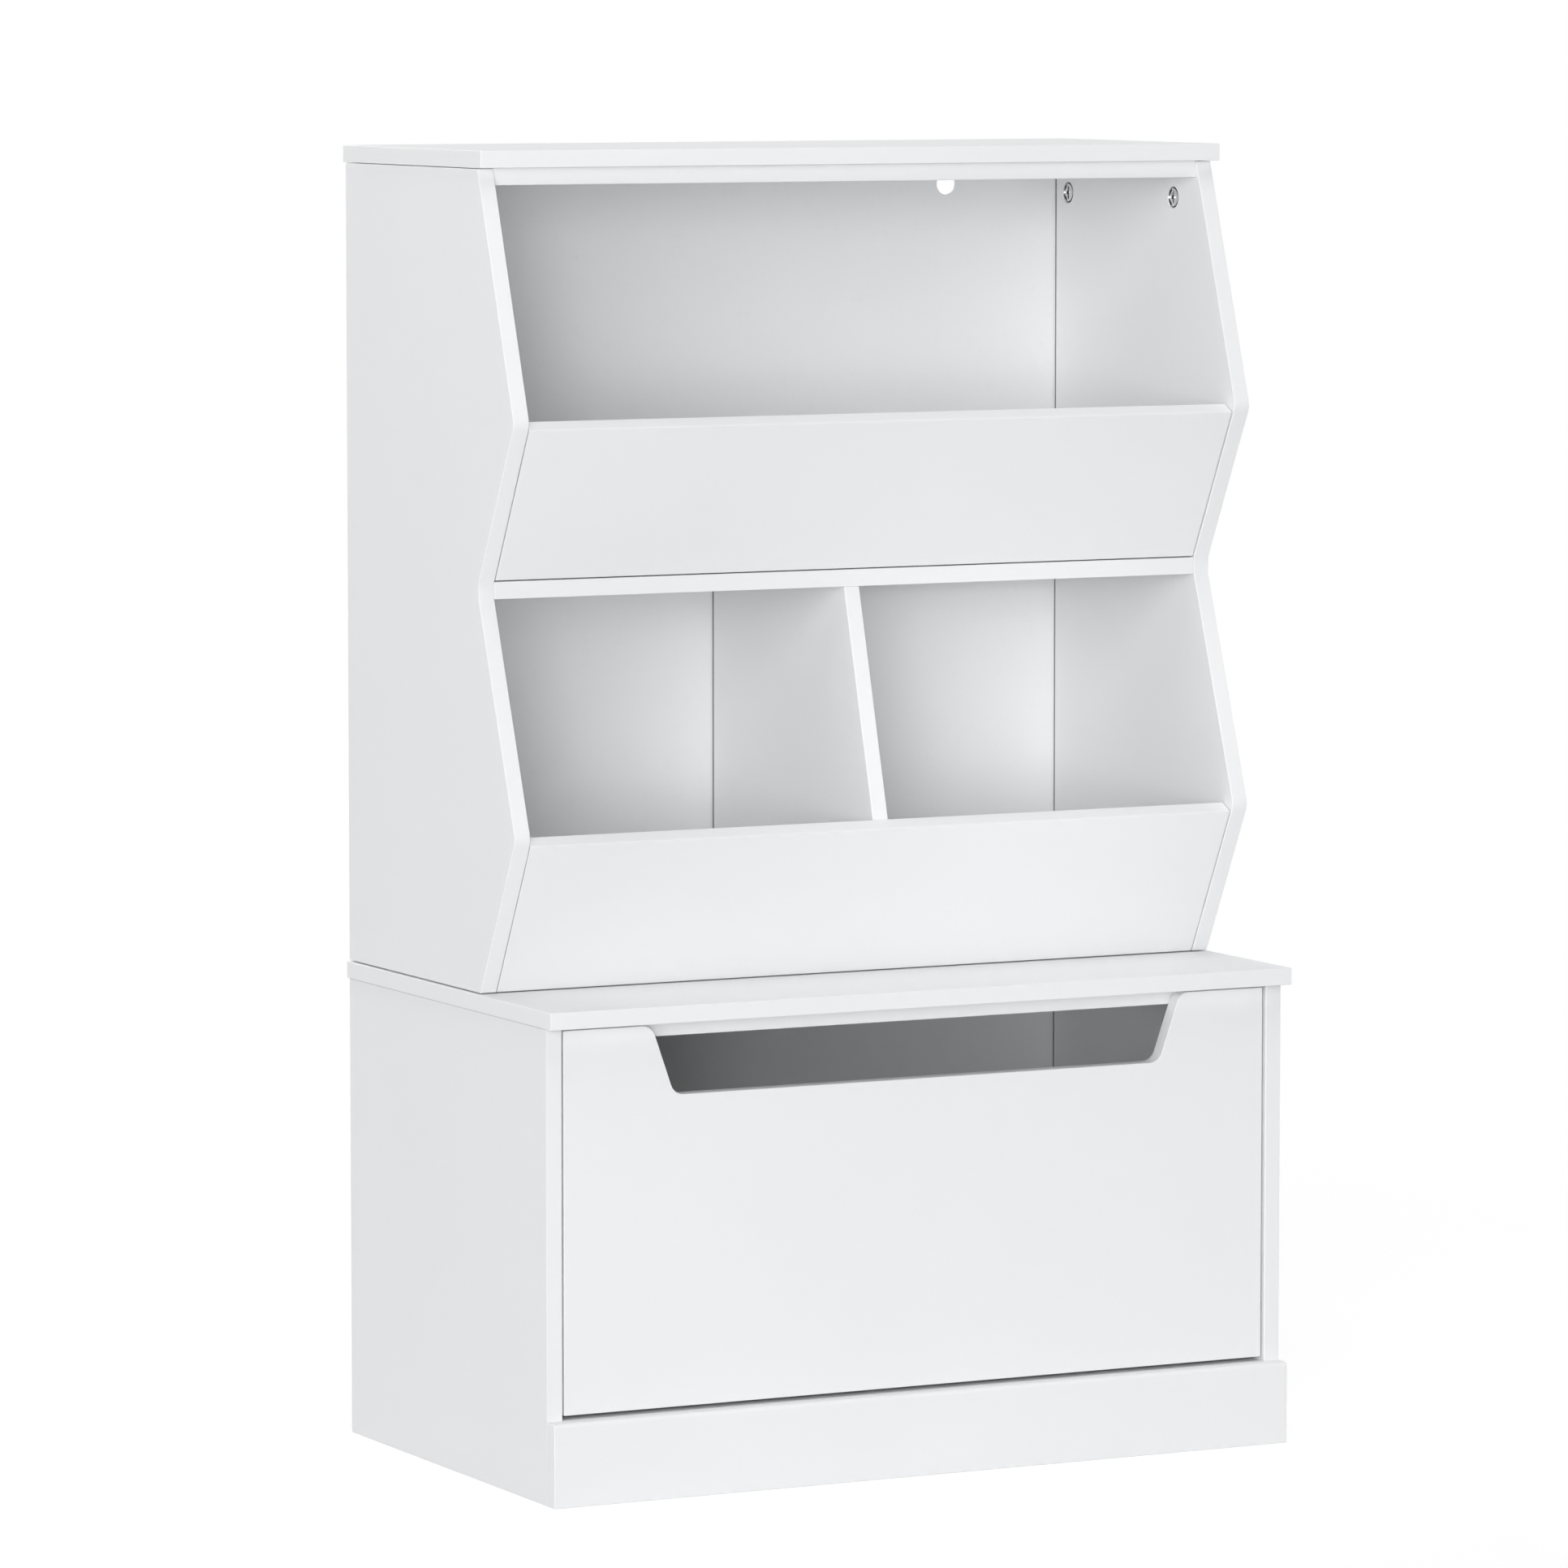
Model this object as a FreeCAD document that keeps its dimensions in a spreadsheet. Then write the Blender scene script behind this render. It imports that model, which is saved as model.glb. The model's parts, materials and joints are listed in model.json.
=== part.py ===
# Toy cabinet in two stacked units: a rack of slanted-front bins on a base with one wide drawer.
# Millimetres, +Z up, the front faces -Y, and the origin lies under the middle of the base top.
import FreeCAD
import Part
import Sketcher
import os
from FreeCAD import Placement, Rotation, Vector

# Driving dimensions
SIZES = {
    # whole cabinet
    "total_height": 920.0,
    "base_height": 340.0,
    "base_depth": 340.0,
    "carcass_width": 576.0,
    "top_overhang": 2.0,
    "board": 12.0,
    # rack: depths from the back edge, rises from the base top
    "upper_top_depth": 232.0,
    "upper_side_depth": 222.0,
    "nose_depth": 280.0,
    "nose_radius": 12.0,
    "lower_nose_rise": 111.0,
    "shelf_rise": 272.5,
    "upper_nose_rise": 395.0,
    "bin_front_slant": 120.0,
    "bin_front_recess": 0.5,
    "bin_end_gap": 0.9,
    "bin_foot_gap": 0.8,
    "side_foot_gap": 0.8,
    "side_head_gap": 0.5,
    "divider_gap": 0.3,
    "divider_rear_gap": 1.4,
    "rail_depth": 40.0,
    # back panels
    "back_thick": 3.0,
    "back_inset": 11.5,
    "groove_depth": 5.0,
    "groove_play": 0.2,
    "groove_front_play": 1.4,
    "strap_hole_radius": 8.0,
    "strap_hole_spread": 370.0,
    "strap_hole_drop": 20.0,
    # cam joints between the side panels and the top boards
    "cam_radius": 7.5,
    "cam_height": 10.0,
    "cam_play": 0.1,
    "cam_drop": 27.0,
    "cam_setback": 33.0,
    "cross_length": 8.0,
    "cross_width": 1.8,
    "cross_depth": 2.0,
    "bolt_head_radius": 3.2,
    "bolt_head_length": 3.2,
    "bolt_shank_radius": 2.4,
    "bolt_thread_radius": 3.0,
    "bolt_seat": 9.0,
    "bolt_play": 0.3,
    # dowel joints
    "dowel_radius": 3.0,
    "dowel_face_depth": 8.0,
    "dowel_edge_depth": 20.0,
    "dowel_play": 0.1,
    "dowel_end_gap": 1.0,
    "dowel_setback": 45.0,
    # base
    "plinth_height": 58.0,
    "plinth_radius": 3.0,
    # drawer front and its hand cut-out
    "drawer_side_gap": 2.0,
    "drawer_top_gap": 2.5,
    "drawer_bottom_gap": 3.0,
    "drawer_recess": 1.5,
    "drawer_stop_gap": 1.0,
    "cutout_depth": 48.5,
    "cutout_top_width": 414.0,
    "cutout_bottom_width": 380.0,
    "cutout_radius": 10.0,
    # drawer box
    "runner_space": 12.5,
    "drawer_box_lift": 7.0,
    "drawer_box_height": 160.0,
    "drawer_box_depth": 290.0,
    "drawer_bottom_thick": 3.0,
    "drawer_bottom_rise": 10.0,
    # roller runners
    "runner_length": 250.0,
    "runner_sheet": 1.2,
    "runner_setback": 2.0,
    "runner_lift": 6.0,
    "track_reach": 10.4,
    "keeper_reach": 8.0,
    "keeper_play": 0.5,
    "hanger_reach": 9.0,
    "ledge_reach": 12.0,
    "roller_radius": 9.5,
    "roller_width": 6.0,
    "roller_play": 0.2,
    "roller_inset": 13.0,
    "axle_radius": 2.5,
    "axle_fit": 0.05,
    "axle_head_radius": 4.0,
    "axle_head_length": 0.6,
    # runner screws
    "screw_radius": 1.75,
    "screw_head_radius": 3.0,
    "screw_length": 10.0,
    "screw_play": 0.1,
    "screw_inset": 55.0,
}

# Places worked out from the driving dimensions
PLACES = {
    "back_y": "Sizes.base_depth / 2",
    "top_x": "Sizes.carcass_width / 2 + Sizes.top_overhang",
    "side_x": "Sizes.carcass_width / 2",
    "inner_x": "side_x - Sizes.board",
    "panel_y": "back_y - Sizes.back_inset - Sizes.back_thick",
    "panel_x": "inner_x + Sizes.groove_depth - Sizes.groove_play",
    # rack levels and front line
    "rack_z": "Sizes.base_height",
    "rack_top_z": "Sizes.total_height - Sizes.board",
    "rack_front_y": "back_y - Sizes.upper_side_depth",
    "nose_y": "back_y - Sizes.nose_depth",
    "shelf_z": "rack_z + Sizes.shelf_rise",
    "shelf_top_z": "shelf_z + Sizes.board",
    "upper_nose_z": "rack_z + Sizes.upper_nose_rise",
    "lower_nose_z": "rack_z + Sizes.lower_nose_rise",
    "floor_top_z": "rack_z + Sizes.board",
    # slope of the two bin fronts, as the cosine and sine of their lean from the vertical
    "lean_run": "rack_front_y - nose_y",
    "upper_rise": "upper_nose_z - shelf_top_z",
    "upper_cos": "upper_rise / sqrt(upper_rise * upper_rise + lean_run * lean_run)",
    "upper_sin": "lean_run / sqrt(upper_rise * upper_rise + lean_run * lean_run)",
    "lower_rise": "lower_nose_z - rack_z",
    "lower_cos": "lower_rise / sqrt(lower_rise * lower_rise + lean_run * lean_run)",
    "lower_sin": "lean_run / sqrt(lower_rise * lower_rise + lean_run * lean_run)",
    "bin_front_back": "Sizes.bin_front_recess + Sizes.board",
    "bin_front_middle": "Sizes.bin_front_recess + Sizes.board / 2",
    "divider_front": "bin_front_back + Sizes.divider_gap",
    "floor_front_y": "rack_front_y + divider_front / lower_cos",
    # cam joints
    "cam_x": "inner_x + Sizes.board / 2",
    "cam_back_y": "back_y - Sizes.cam_setback",
    "rack_cam_front_y": "rack_front_y + Sizes.cam_setback",
    "rack_cam_z": "rack_top_z - Sizes.cam_drop",
    "base_cam_front_y": "base_rail_y + Sizes.rail_depth + 2 * Sizes.cam_radius",
    "base_cam_z": "base_top_z - Sizes.cam_drop",
    # base levels
    "base_top_z": "Sizes.base_height - Sizes.board",
    "base_front_y": "Sizes.board - back_y",
    "bottom_z": "Sizes.plinth_height - Sizes.board",
    # drawer front
    "drawer_x": "inner_x - Sizes.drawer_side_gap",
    "drawer_z": "Sizes.plinth_height + Sizes.drawer_bottom_gap",
    "drawer_top_z": "base_top_z - Sizes.drawer_top_gap",
    "drawer_face_y": "base_front_y + Sizes.drawer_recess",
    "drawer_back_y": "drawer_face_y + Sizes.board",
    "cutout_z": "drawer_top_z - Sizes.cutout_depth",
    "base_rail_y": "drawer_back_y + Sizes.drawer_stop_gap",
    # drawer box
    "box_x": "inner_x - Sizes.runner_space",
    "box_inner_x": "box_x - Sizes.board",
    "box_z": "drawer_z + Sizes.drawer_box_lift",
    "box_rear_y": "drawer_back_y + Sizes.drawer_box_depth",
    "box_bottom_z": "box_z + Sizes.drawer_bottom_rise",
    # runners: the track carries the drawer's rollers, the hanger rests on the cabinet's rollers
    "runner_z": "Sizes.plinth_height + Sizes.runner_lift",
    "track_z": "runner_z + Sizes.runner_sheet",
    "rear_roller_z": "track_z + Sizes.roller_play + Sizes.roller_radius",
    "keeper_z": "rear_roller_z + Sizes.roller_radius + Sizes.keeper_play",
    "keeper_top_z": "keeper_z + Sizes.runner_sheet",
    "hanger_z": "keeper_top_z + Sizes.keeper_play",
    "front_roller_z": "hanger_z - Sizes.roller_play - Sizes.roller_radius",
    "runner_front_y": "drawer_back_y + Sizes.runner_setback",
    "runner_rear_y": "runner_front_y + Sizes.runner_length",
    "front_roller_y": "runner_front_y + Sizes.roller_inset",
    "rear_roller_y": "runner_rear_y - Sizes.runner_setback - 2 * Sizes.roller_inset + Sizes.roller_radius",
    "hanger_rear_y": "rear_roller_y + Sizes.roller_inset",
    "cabinet_web_x": "inner_x - Sizes.runner_sheet",
    "drawer_web_x": "box_x + Sizes.runner_sheet",
    "axle_reach": "Sizes.runner_sheet + Sizes.roller_width + 2 * Sizes.roller_play",
}

doc = FreeCAD.newDocument("ToyCabinet")


def fill_sheet(name, rows):
    """A spreadsheet of aliased values, one row each."""
    sheet = doc.addObject("Spreadsheet::Sheet", name)
    for row, (alias, content) in enumerate(rows.items(), 1):
        sheet.set(f"A{row}", alias)
        sheet.set(f"B{row}", content)
        sheet.setAlias(f"B{row}", alias)
    return sheet


sizes = fill_sheet("Sizes", {alias: str(number) for alias, number in SIZES.items()})
places = fill_sheet("Places", {alias: "=" + formula for alias, formula in PLACES.items()})
doc.recompute()

# The origin planes of a body, their normals' signs, and the two axes that a sketch on each one shows
PLANES = {"x": ("YZ_Plane", "+", "yz"), "y": ("XZ_Plane", "-", "xz"), "z": ("XY_Plane", "+", "xy")}
AXES = {"x": Vector(1, 0, 0), "y": Vector(0, 1, 0), "z": Vector(0, 0, 1)}
TOUCH = 0.001
ORIGIN = ("0", "0", "0")
SIDES = (("left", "-"), ("right", "+"))
OPPOSITE = {"+": "-", "-": "+"}
# Dowels are fluted, bolts and screws hidden: they, rivet heads and their bores have this many sides
FLUTES = 8

pieces = []
corners = {}


# Building blocks

def value(expression):
    """The number that an expression gives now."""
    return float(places.evalExpression(expression))


def keep(piece):
    """Count a document object as a sub-part that is written out."""
    pieces.append(piece)
    return piece


def put(thing, place):
    """Bind the position of a document object to three expressions."""
    for axis, expression in zip("xyz", place):
        thing.setExpression(f"Placement.Base.{axis}", expression)


def new_body(label, corner=ORIGIN):
    """An empty body, placed with its own origin at corner."""
    body = doc.addObject("PartDesign::Body", label)
    body.Label = label
    put(body, corner)
    corners[label] = corner
    return body


def new_sketch(body, axis, level="0"):
    """A sketch square to an axis of the body, at a level along that axis."""
    role, normal, _ = PLANES[axis]
    sketch = body.newObject("Sketcher::SketchObject", f"{body.Name}_sketch")
    sketch.AttachmentSupport = (next(f for f in body.Origin.OriginFeatures if f.Role == role), [""])
    sketch.MapMode = "FlatFace"
    sketch.setExpression("AttachmentOffset.Base.z", f"{normal}({level})")
    return sketch


def bind_point(sketch, geometry, end, spot):
    """Tie one point of a sketch to a pair of expressions."""
    for kind, expression in zip(("DistanceX", "DistanceY"), spot):
        constraint = Sketcher.Constraint(kind, -1, 1, geometry, end, value(expression))
        sketch.setExpression(f"Constraints[{sketch.addConstraint(constraint)}]", expression)


def draw_polygon(sketch, spots):
    """A closed outline of straight lines through pairs of expressions."""
    corner_points = [Vector(value(u), value(v), 0) for u, v in spots]
    following = corner_points[1:] + corner_points[:1]
    lines = [sketch.addGeometry(Part.LineSegment(a, b)) for a, b in zip(corner_points, following)]
    for line, after, spot in zip(lines, lines[1:] + lines[:1], spots):
        sketch.addConstraint(Sketcher.Constraint("Coincident", line, 2, after, 1))
        bind_point(sketch, line, 1, spot)


def draw_circle(sketch, spot, radius):
    """A circle round a pair of expressions."""
    middle = Vector(value(spot[0]), value(spot[1]), 0)
    circle = sketch.addGeometry(Part.Circle(middle, AXES["z"], value(radius)))
    bind_point(sketch, circle, 3, spot)
    constraint = sketch.addConstraint(Sketcher.Constraint("Radius", circle, value(radius)))
    sketch.setExpression(f"Constraints[{constraint}]", radius)


def add_pad(body, sketch, length, backwards=False):
    """Extrude a sketch along its normal."""
    pad = body.newObject("PartDesign::Pad", f"{body.Name}_pad")
    pad.Profile = sketch
    pad.Reversed = backwards
    pad.setExpression("Length", length)


def add_pocket(body, sketch, length, backwards=False):
    """Cut a sketch into the body, against its normal."""
    pocket = body.newObject("PartDesign::Pocket", f"{body.Name}_pocket")
    pocket.Profile = sketch
    pocket.Reversed = backwards
    pocket.setExpression("Length", length)


def add_turning(body, spots):
    """Revolve an outline of (radius, height) pairs about the body's own Z axis."""
    sketch = new_sketch(body, "y")
    draw_polygon(sketch, spots)
    turning = body.newObject("PartDesign::Revolution", f"{body.Name}_turning")
    turning.Profile = sketch
    turning.ReferenceAxis = (sketch, ["V_Axis"])


def round_edges(body, spots, radius):
    """Round the edges whose middles are at the given spots of the body's own frame."""
    doc.recompute()
    solid = body.Tip
    middles = [Vector(*(value(number) for number in spot)) for spot in spots]
    names = [f"Edge{index}" for index, edge in enumerate(solid.Shape.Edges, 1)
             if any((edge.CenterOfMass - middle).Length < TOUCH for middle in middles)]
    rounding = body.newObject("PartDesign::Fillet", f"{body.Name}_rounding")
    rounding.Base = (solid, names)
    rounding.setExpression("Radius", radius)


def turn_towards(way):
    """The rotation that takes +Z to a direction such as -x."""
    sign, axis = way
    return Rotation(AXES["z"], AXES[axis] if sign == "+" else -AXES[axis])


def local(label, place):
    """A place of the cabinet in the own frame of a piece."""
    return tuple(f"({a}) - ({b})" for a, b in zip(place, corners[label]))


def panel(label, low, high):
    """A rectangular board between two opposite corners."""
    body = keep(new_body(label, low))
    width, depth, height = local(label, high)
    sketch = new_sketch(body, "z")
    draw_polygon(sketch, (("0", "0"), (width, "0"), (width, depth), ("0", depth)))
    add_pad(body, sketch, height)
    return body


def profile_panel(label, axis, level, spots, length, backwards=False):
    """A board with an outline square to one axis, padded along that axis from a level."""
    body = keep(new_body(label))
    sketch = new_sketch(body, axis, level)
    draw_polygon(sketch, spots)
    add_pad(body, sketch, length, backwards)
    return body


def groove(label, way, face, low, high, depth):
    """Cut a straight groove into a face: way is the cutting direction, such as +x."""
    sign, axis = way
    _, normal, shown = PLANES[axis]
    at = [dict(zip("xyz", local(label, spot))) for spot in (low, high)]
    (u0, v0), (u1, v1) = [[spot[name] for name in shown] for spot in at]
    body = doc.getObject(label)
    sketch = new_sketch(body, axis, local(label, [face] * 3)["xyz".index(axis)])
    draw_polygon(sketch, ((u0, v0), (u1, v0), (u1, v1), (u0, v1)))
    add_pocket(body, sketch, depth, backwards=sign == normal)


def add_primitive(body, kind, place, way, radius, length):
    """Add or cut a cylinder or a fluted prism that starts at a place of the body's own frame."""
    shape = body.newObject(f"PartDesign::{kind}", f"{body.Name}_{kind}")
    if kind.endswith("Prism"):
        shape.Polygon = FLUTES
        shape.setExpression("Circumradius", radius)
    else:
        shape.setExpression("Radius", radius)
    shape.setExpression("Height", length)
    shape.Placement = Placement(Vector(), turn_towards(way))
    put(shape, place)


def drill(label, way, place, radius, depth, kind="SubtractivePrism"):
    """Cut a bore into a piece that starts at a place of the cabinet and goes one way, such as +x."""
    add_primitive(doc.getObject(label), kind, local(label, place), way, radius, depth)


def drill_round(label, way, place, radius, depth):
    """Cut a bore that shows or that something turns in."""
    drill(label, way, place, radius, depth, "SubtractiveCylinder")


def copy_of(master, place, rotation=Rotation()):
    """One more of a fastener that is modelled once, placed by three expressions."""
    link = doc.addObject("App::Link", f"{master.Name}_copy")
    link.LinkedObject = master
    link.Placement = Placement(Vector(), rotation)
    put(link, place)
    return link


def fastener_group(label, members):
    """Like fasteners of one body as one sub-part of separate solids."""
    group = doc.addObject("Part::Compound", label)
    group.Label = label
    group.Links = members
    return keep(group)


# Fasteners that are modelled once

def make_cam_master():
    """A cam lock: its cross-drive face lies at x = 0 and it sinks towards +X."""
    body = new_body("cam_master")
    disc = new_sketch(body, "x")
    draw_circle(disc, ("0", "0"), "Sizes.cam_radius")
    add_pad(body, disc, "Sizes.cam_height")
    arm, waist = "Sizes.cross_length / 2", "Sizes.cross_width / 2"
    quarters = ((1, 1), (-1, 1), (-1, -1), (1, -1))
    spots = []
    for u, v in quarters:
        arm_side = (f"{u} * {arm}", f"{v} * {waist}")
        inside = (f"{u} * {waist}", f"{v} * {waist}")
        arm_end = (f"{u} * {waist}", f"{v} * {arm}")
        spots += [arm_side, inside, arm_end] if u == v else [arm_end, inside, arm_side]
    cross = new_sketch(body, "x")
    draw_polygon(cross, spots)
    add_pocket(body, cross, "Sizes.cross_depth", backwards=True)
    mouth = ("Sizes.board / 2", "0", "Sizes.cam_radius")
    add_primitive(body, "SubtractivePrism", mouth, "-z", "Sizes.bolt_head_radius + Sizes.bolt_play",
                  "Sizes.cam_radius + Sizes.bolt_head_length / 2 + Sizes.bolt_play")
    return body


def make_bolt_master():
    """A cam bolt along +Z, with the middle of its head at the origin: head, shank and thread."""
    body = new_body("bolt_master")
    neck = "Sizes.bolt_head_length / 2"
    add_primitive(body, "AdditivePrism", ("0", "0", f"-{neck}"), "+z", "Sizes.bolt_head_radius",
                  "Sizes.bolt_head_length")
    add_primitive(body, "AdditivePrism", ("0", "0", neck), "+z", "Sizes.bolt_shank_radius",
                  f"Sizes.cam_drop - {neck}")
    add_primitive(body, "AdditivePrism", ("0", "0", "Sizes.cam_drop"), "+z", "Sizes.bolt_thread_radius",
                  "Sizes.bolt_seat")
    return body


def make_screw_master():
    """A flat-headed screw along +Z with its head's top at z = 0; the head is as thick as the sheet."""
    body = new_body("screw_master")
    add_primitive(body, "AdditivePrism", ORIGIN, "+z", "Sizes.screw_head_radius", "Sizes.runner_sheet")
    add_primitive(body, "AdditivePrism", ("0", "0", "Sizes.runner_sheet"), "+z", "Sizes.screw_radius",
                  "Sizes.screw_length - Sizes.runner_sheet")
    return body


def make_axle_master():
    """A riveted roller axle along +Z: it fills the hole in the sheet and ends in a flat head."""
    body = new_body("axle_master")
    add_primitive(body, "AdditiveCylinder", ORIGIN, "+z", "Sizes.axle_radius", "Places.axle_reach")
    add_primitive(body, "AdditivePrism", ("0", "0", "Places.axle_reach"), "+z", "Sizes.axle_head_radius",
                  "Sizes.axle_head_length")
    return body


def dowel(way, place, face_label, edge_label):
    """A dowel across a joint: way points from the face-drilled board into the edge-drilled one."""
    pin = doc.addObject("Part::Prism", "dowel")
    pin.Polygon = FLUTES
    pin.setExpression("Circumradius", "Sizes.dowel_radius")
    pin.setExpression("Height", "Sizes.dowel_face_depth + Sizes.dowel_edge_depth")
    pin.Placement = Placement(Vector(), turn_towards(way))
    sign, axis = way
    start = dict(zip("xyz", place))
    start[axis] = f"({start[axis]}) {OPPOSITE[sign]} Sizes.dowel_face_depth"
    put(pin, start.values())
    bore = "Sizes.dowel_radius + Sizes.dowel_play"
    drill(face_label, OPPOSITE[sign] + axis, place, bore, "Sizes.dowel_face_depth")
    drill(edge_label, way, place, bore, "Sizes.dowel_edge_depth + Sizes.dowel_end_gap")
    return pin


def end_dowels(label, sides, y, z, x="Places.inner_x"):
    """Dowels along X from a pair of side boards into both ends of a board."""
    return [dowel(f"{OPPOSITE[sign]}x", (f"{sign}{x}", y, z), f"{sides}_{side}", label)
            for side, sign in SIDES]


# Rack

def make_upper_sides():
    """Zigzag side panels with a rounded nose at each bin's lip and a groove for the back panel.

    The rack stands on its bottom board and its top rests on the rail, so the panels end just short of both.
    """
    foot = slope_at_level("lower", "Places.rack_z", "Sizes.side_foot_gap", "0")
    head_z = "Places.rack_top_z - Sizes.side_head_gap"
    outline = (
        ("Places.back_y", foot[1]), ("Places.back_y", head_z),
        ("Places.rack_front_y", head_z), ("Places.nose_y", "Places.upper_nose_z"),
        ("Places.rack_front_y", "Places.shelf_top_z"), ("Places.rack_front_y", "Places.shelf_z"),
        ("Places.nose_y", "Places.lower_nose_z"), foot)
    for side, sign in SIDES:
        label = f"upper_side_{side}"
        body = profile_panel(label, "x", f"{sign}Places.inner_x", outline, "Sizes.board", sign == "-")
        middle_x = f"{sign}Places.cam_x"
        noses = [(middle_x, "Places.nose_y", z) for z in ("Places.upper_nose_z", "Places.lower_nose_z")]
        round_edges(body, noses, "Sizes.nose_radius")
        cut_back_groove(label, sign, "Places.rack_z", "Places.rack_top_z")


def cut_back_groove(label, sign, low_z, high_z):
    """The upright groove of a side panel that holds the edge of a back panel."""
    groove(label, f"{sign}x", f"{sign}Places.inner_x",
           ("0", "Places.panel_y - Sizes.groove_front_play", low_z),
           ("0", "Places.panel_y + Sizes.back_thick + Sizes.groove_play", high_z), "Sizes.groove_depth")


def cut_top_groove(label, face_z):
    """The groove under a top board that holds the top edge of a back panel."""
    end_x = "Places.panel_x + Sizes.groove_play"
    groove(label, "+z", face_z, (f"-({end_x})", "Places.panel_y - Sizes.groove_front_play", "0"),
           (end_x, "Places.panel_y + Sizes.back_thick + Sizes.groove_play", "0"), "Sizes.groove_depth")


def make_upper_boards():
    """The straight boards of the rack."""
    panel("upper_top", ("-Places.top_x", "Places.back_y - Sizes.upper_top_depth", "Places.rack_top_z"),
          ("Places.top_x", "Places.back_y", "Sizes.total_height"))
    cut_top_groove("upper_top", "Places.rack_top_z")
    panel("upper_top_rail", ("-Places.inner_x", "Places.rack_front_y", "Places.rack_top_z - Sizes.board"),
          ("Places.inner_x", "Places.rack_front_y + Sizes.rail_depth", "Places.rack_top_z"))
    panel("mid_shelf", ("-Places.inner_x", "Places.rack_front_y", "Places.shelf_z"),
          ("Places.inner_x", "Places.panel_y", "Places.shelf_top_z"))
    panel("lower_bin_floor", ("-Places.inner_x", "Places.floor_front_y", "Places.rack_z"),
          ("Places.inner_x", "Places.panel_y", "Places.floor_top_z"))
    panel("upper_back_panel", ("-Places.panel_x", "Places.panel_y", "Places.rack_z"),
          ("Places.panel_x", "Places.panel_y + Sizes.back_thick",
           "Places.rack_top_z + Sizes.groove_depth - Sizes.groove_play"))
    for _, sign in SIDES:
        place = (f"{sign}Sizes.strap_hole_spread / 2", "Places.panel_y",
                 "Places.rack_top_z - Sizes.strap_hole_drop")
        drill_round("upper_back_panel", "+y", place, "Sizes.strap_hole_radius", "Sizes.back_thick")


def slope_spot(tier, foot_z, along, behind):
    """A spot on a bin front's slope: along the slope from its foot, and behind the side panels' edges."""
    lean_cos, lean_sin = f"Places.{tier}_cos", f"Places.{tier}_sin"
    return (f"Places.rack_front_y - ({along}) * {lean_sin} + ({behind}) * {lean_cos}",
            f"{foot_z} + ({along}) * {lean_cos} + ({behind}) * {lean_sin}")


def slope_at_level(tier, foot_z, rise, behind):
    """Where a line parallel to a bin front's slope crosses a level above its foot."""
    lean_cos, lean_sin = f"Places.{tier}_cos", f"Places.{tier}_sin"
    return (f"Places.rack_front_y - ({rise}) * {lean_sin} / {lean_cos} + ({behind}) / {lean_cos}",
            f"{foot_z} + ({rise})")


def make_bin_fronts():
    """Slanted boards just clear of what is below, with a square-cut lip, and the divider behind one."""
    recess, back = "Sizes.bin_front_recess", "Places.bin_front_back"
    for tier, foot_z in (("upper", "Places.shelf_top_z"), ("lower", "Places.rack_z")):
        outline = (slope_at_level(tier, foot_z, "Sizes.bin_foot_gap", recess),
                   slope_spot(tier, foot_z, "Sizes.bin_front_slant", recess),
                   slope_spot(tier, foot_z, "Sizes.bin_front_slant", back),
                   slope_at_level(tier, foot_z, "Sizes.bin_foot_gap", back))
        profile_panel(f"{tier}_bin_front", "x", "Sizes.bin_end_gap - Places.inner_x", outline,
                      "2 * (Places.inner_x - Sizes.bin_end_gap)")
    clear = "Places.divider_front"
    rear_y = "Places.panel_y - Sizes.divider_rear_gap"
    outline = ((rear_y, "Places.floor_top_z"), (rear_y, "Places.shelf_z"),
               ("Places.rack_front_y", "Places.shelf_z"),
               slope_spot("lower", "Places.rack_z", "Sizes.bin_front_slant", clear),
               slope_at_level("lower", "Places.rack_z", "Sizes.board", clear))
    profile_panel("bin_divider", "x", "-Sizes.board / 2", outline, "Sizes.board")


def join_rack():
    """Dowels between the rack's boards."""
    pins = []
    for y in ("Places.rack_front_y + Sizes.dowel_setback", "Places.panel_y - Sizes.dowel_setback"):
        pins += end_dowels("mid_shelf", "upper_side", y, "Places.shelf_z + Sizes.board / 2")
        pins += end_dowels("lower_bin_floor", "upper_side", y, "Places.rack_z + Sizes.board / 2")
    pins += end_dowels("upper_top_rail", "upper_side", "Places.rack_front_y + Sizes.rail_depth / 2",
                       "Places.rack_top_z - Sizes.board / 2")
    for tier, foot_z in (("upper", "Places.shelf_top_z"), ("lower", "Places.rack_z")):
        for along in ("Sizes.bin_front_slant / 4", "Sizes.bin_front_slant * 3 / 4"):
            y, z = slope_spot(tier, foot_z, along, "Places.bin_front_middle")
            pins += end_dowels(f"{tier}_bin_front", "upper_side", y, z)
    pins.append(dowel("-z", ("0", "Places.rack_front_y + Sizes.dowel_setback", "Places.shelf_z"),
                      "mid_shelf", "bin_divider"))
    pins.append(dowel("+z", ("0", "Places.panel_y - Sizes.dowel_setback", "Places.floor_top_z"),
                      "lower_bin_floor", "bin_divider"))
    fastener_group("upper_dowels", pins)


def join_units():
    """Dowels that stand in the base top and keep the rack in place."""
    pins = [dowel("+z", (f"{sign}Places.cam_x", y, "Places.rack_z"), "base_top", f"upper_side_{side}")
            for side, sign in SIDES
            for y in ("Places.rack_cam_front_y", "Places.panel_y - 2 * Sizes.dowel_setback")]
    fastener_group("stacking_dowels", pins)


# Cam joints

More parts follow.
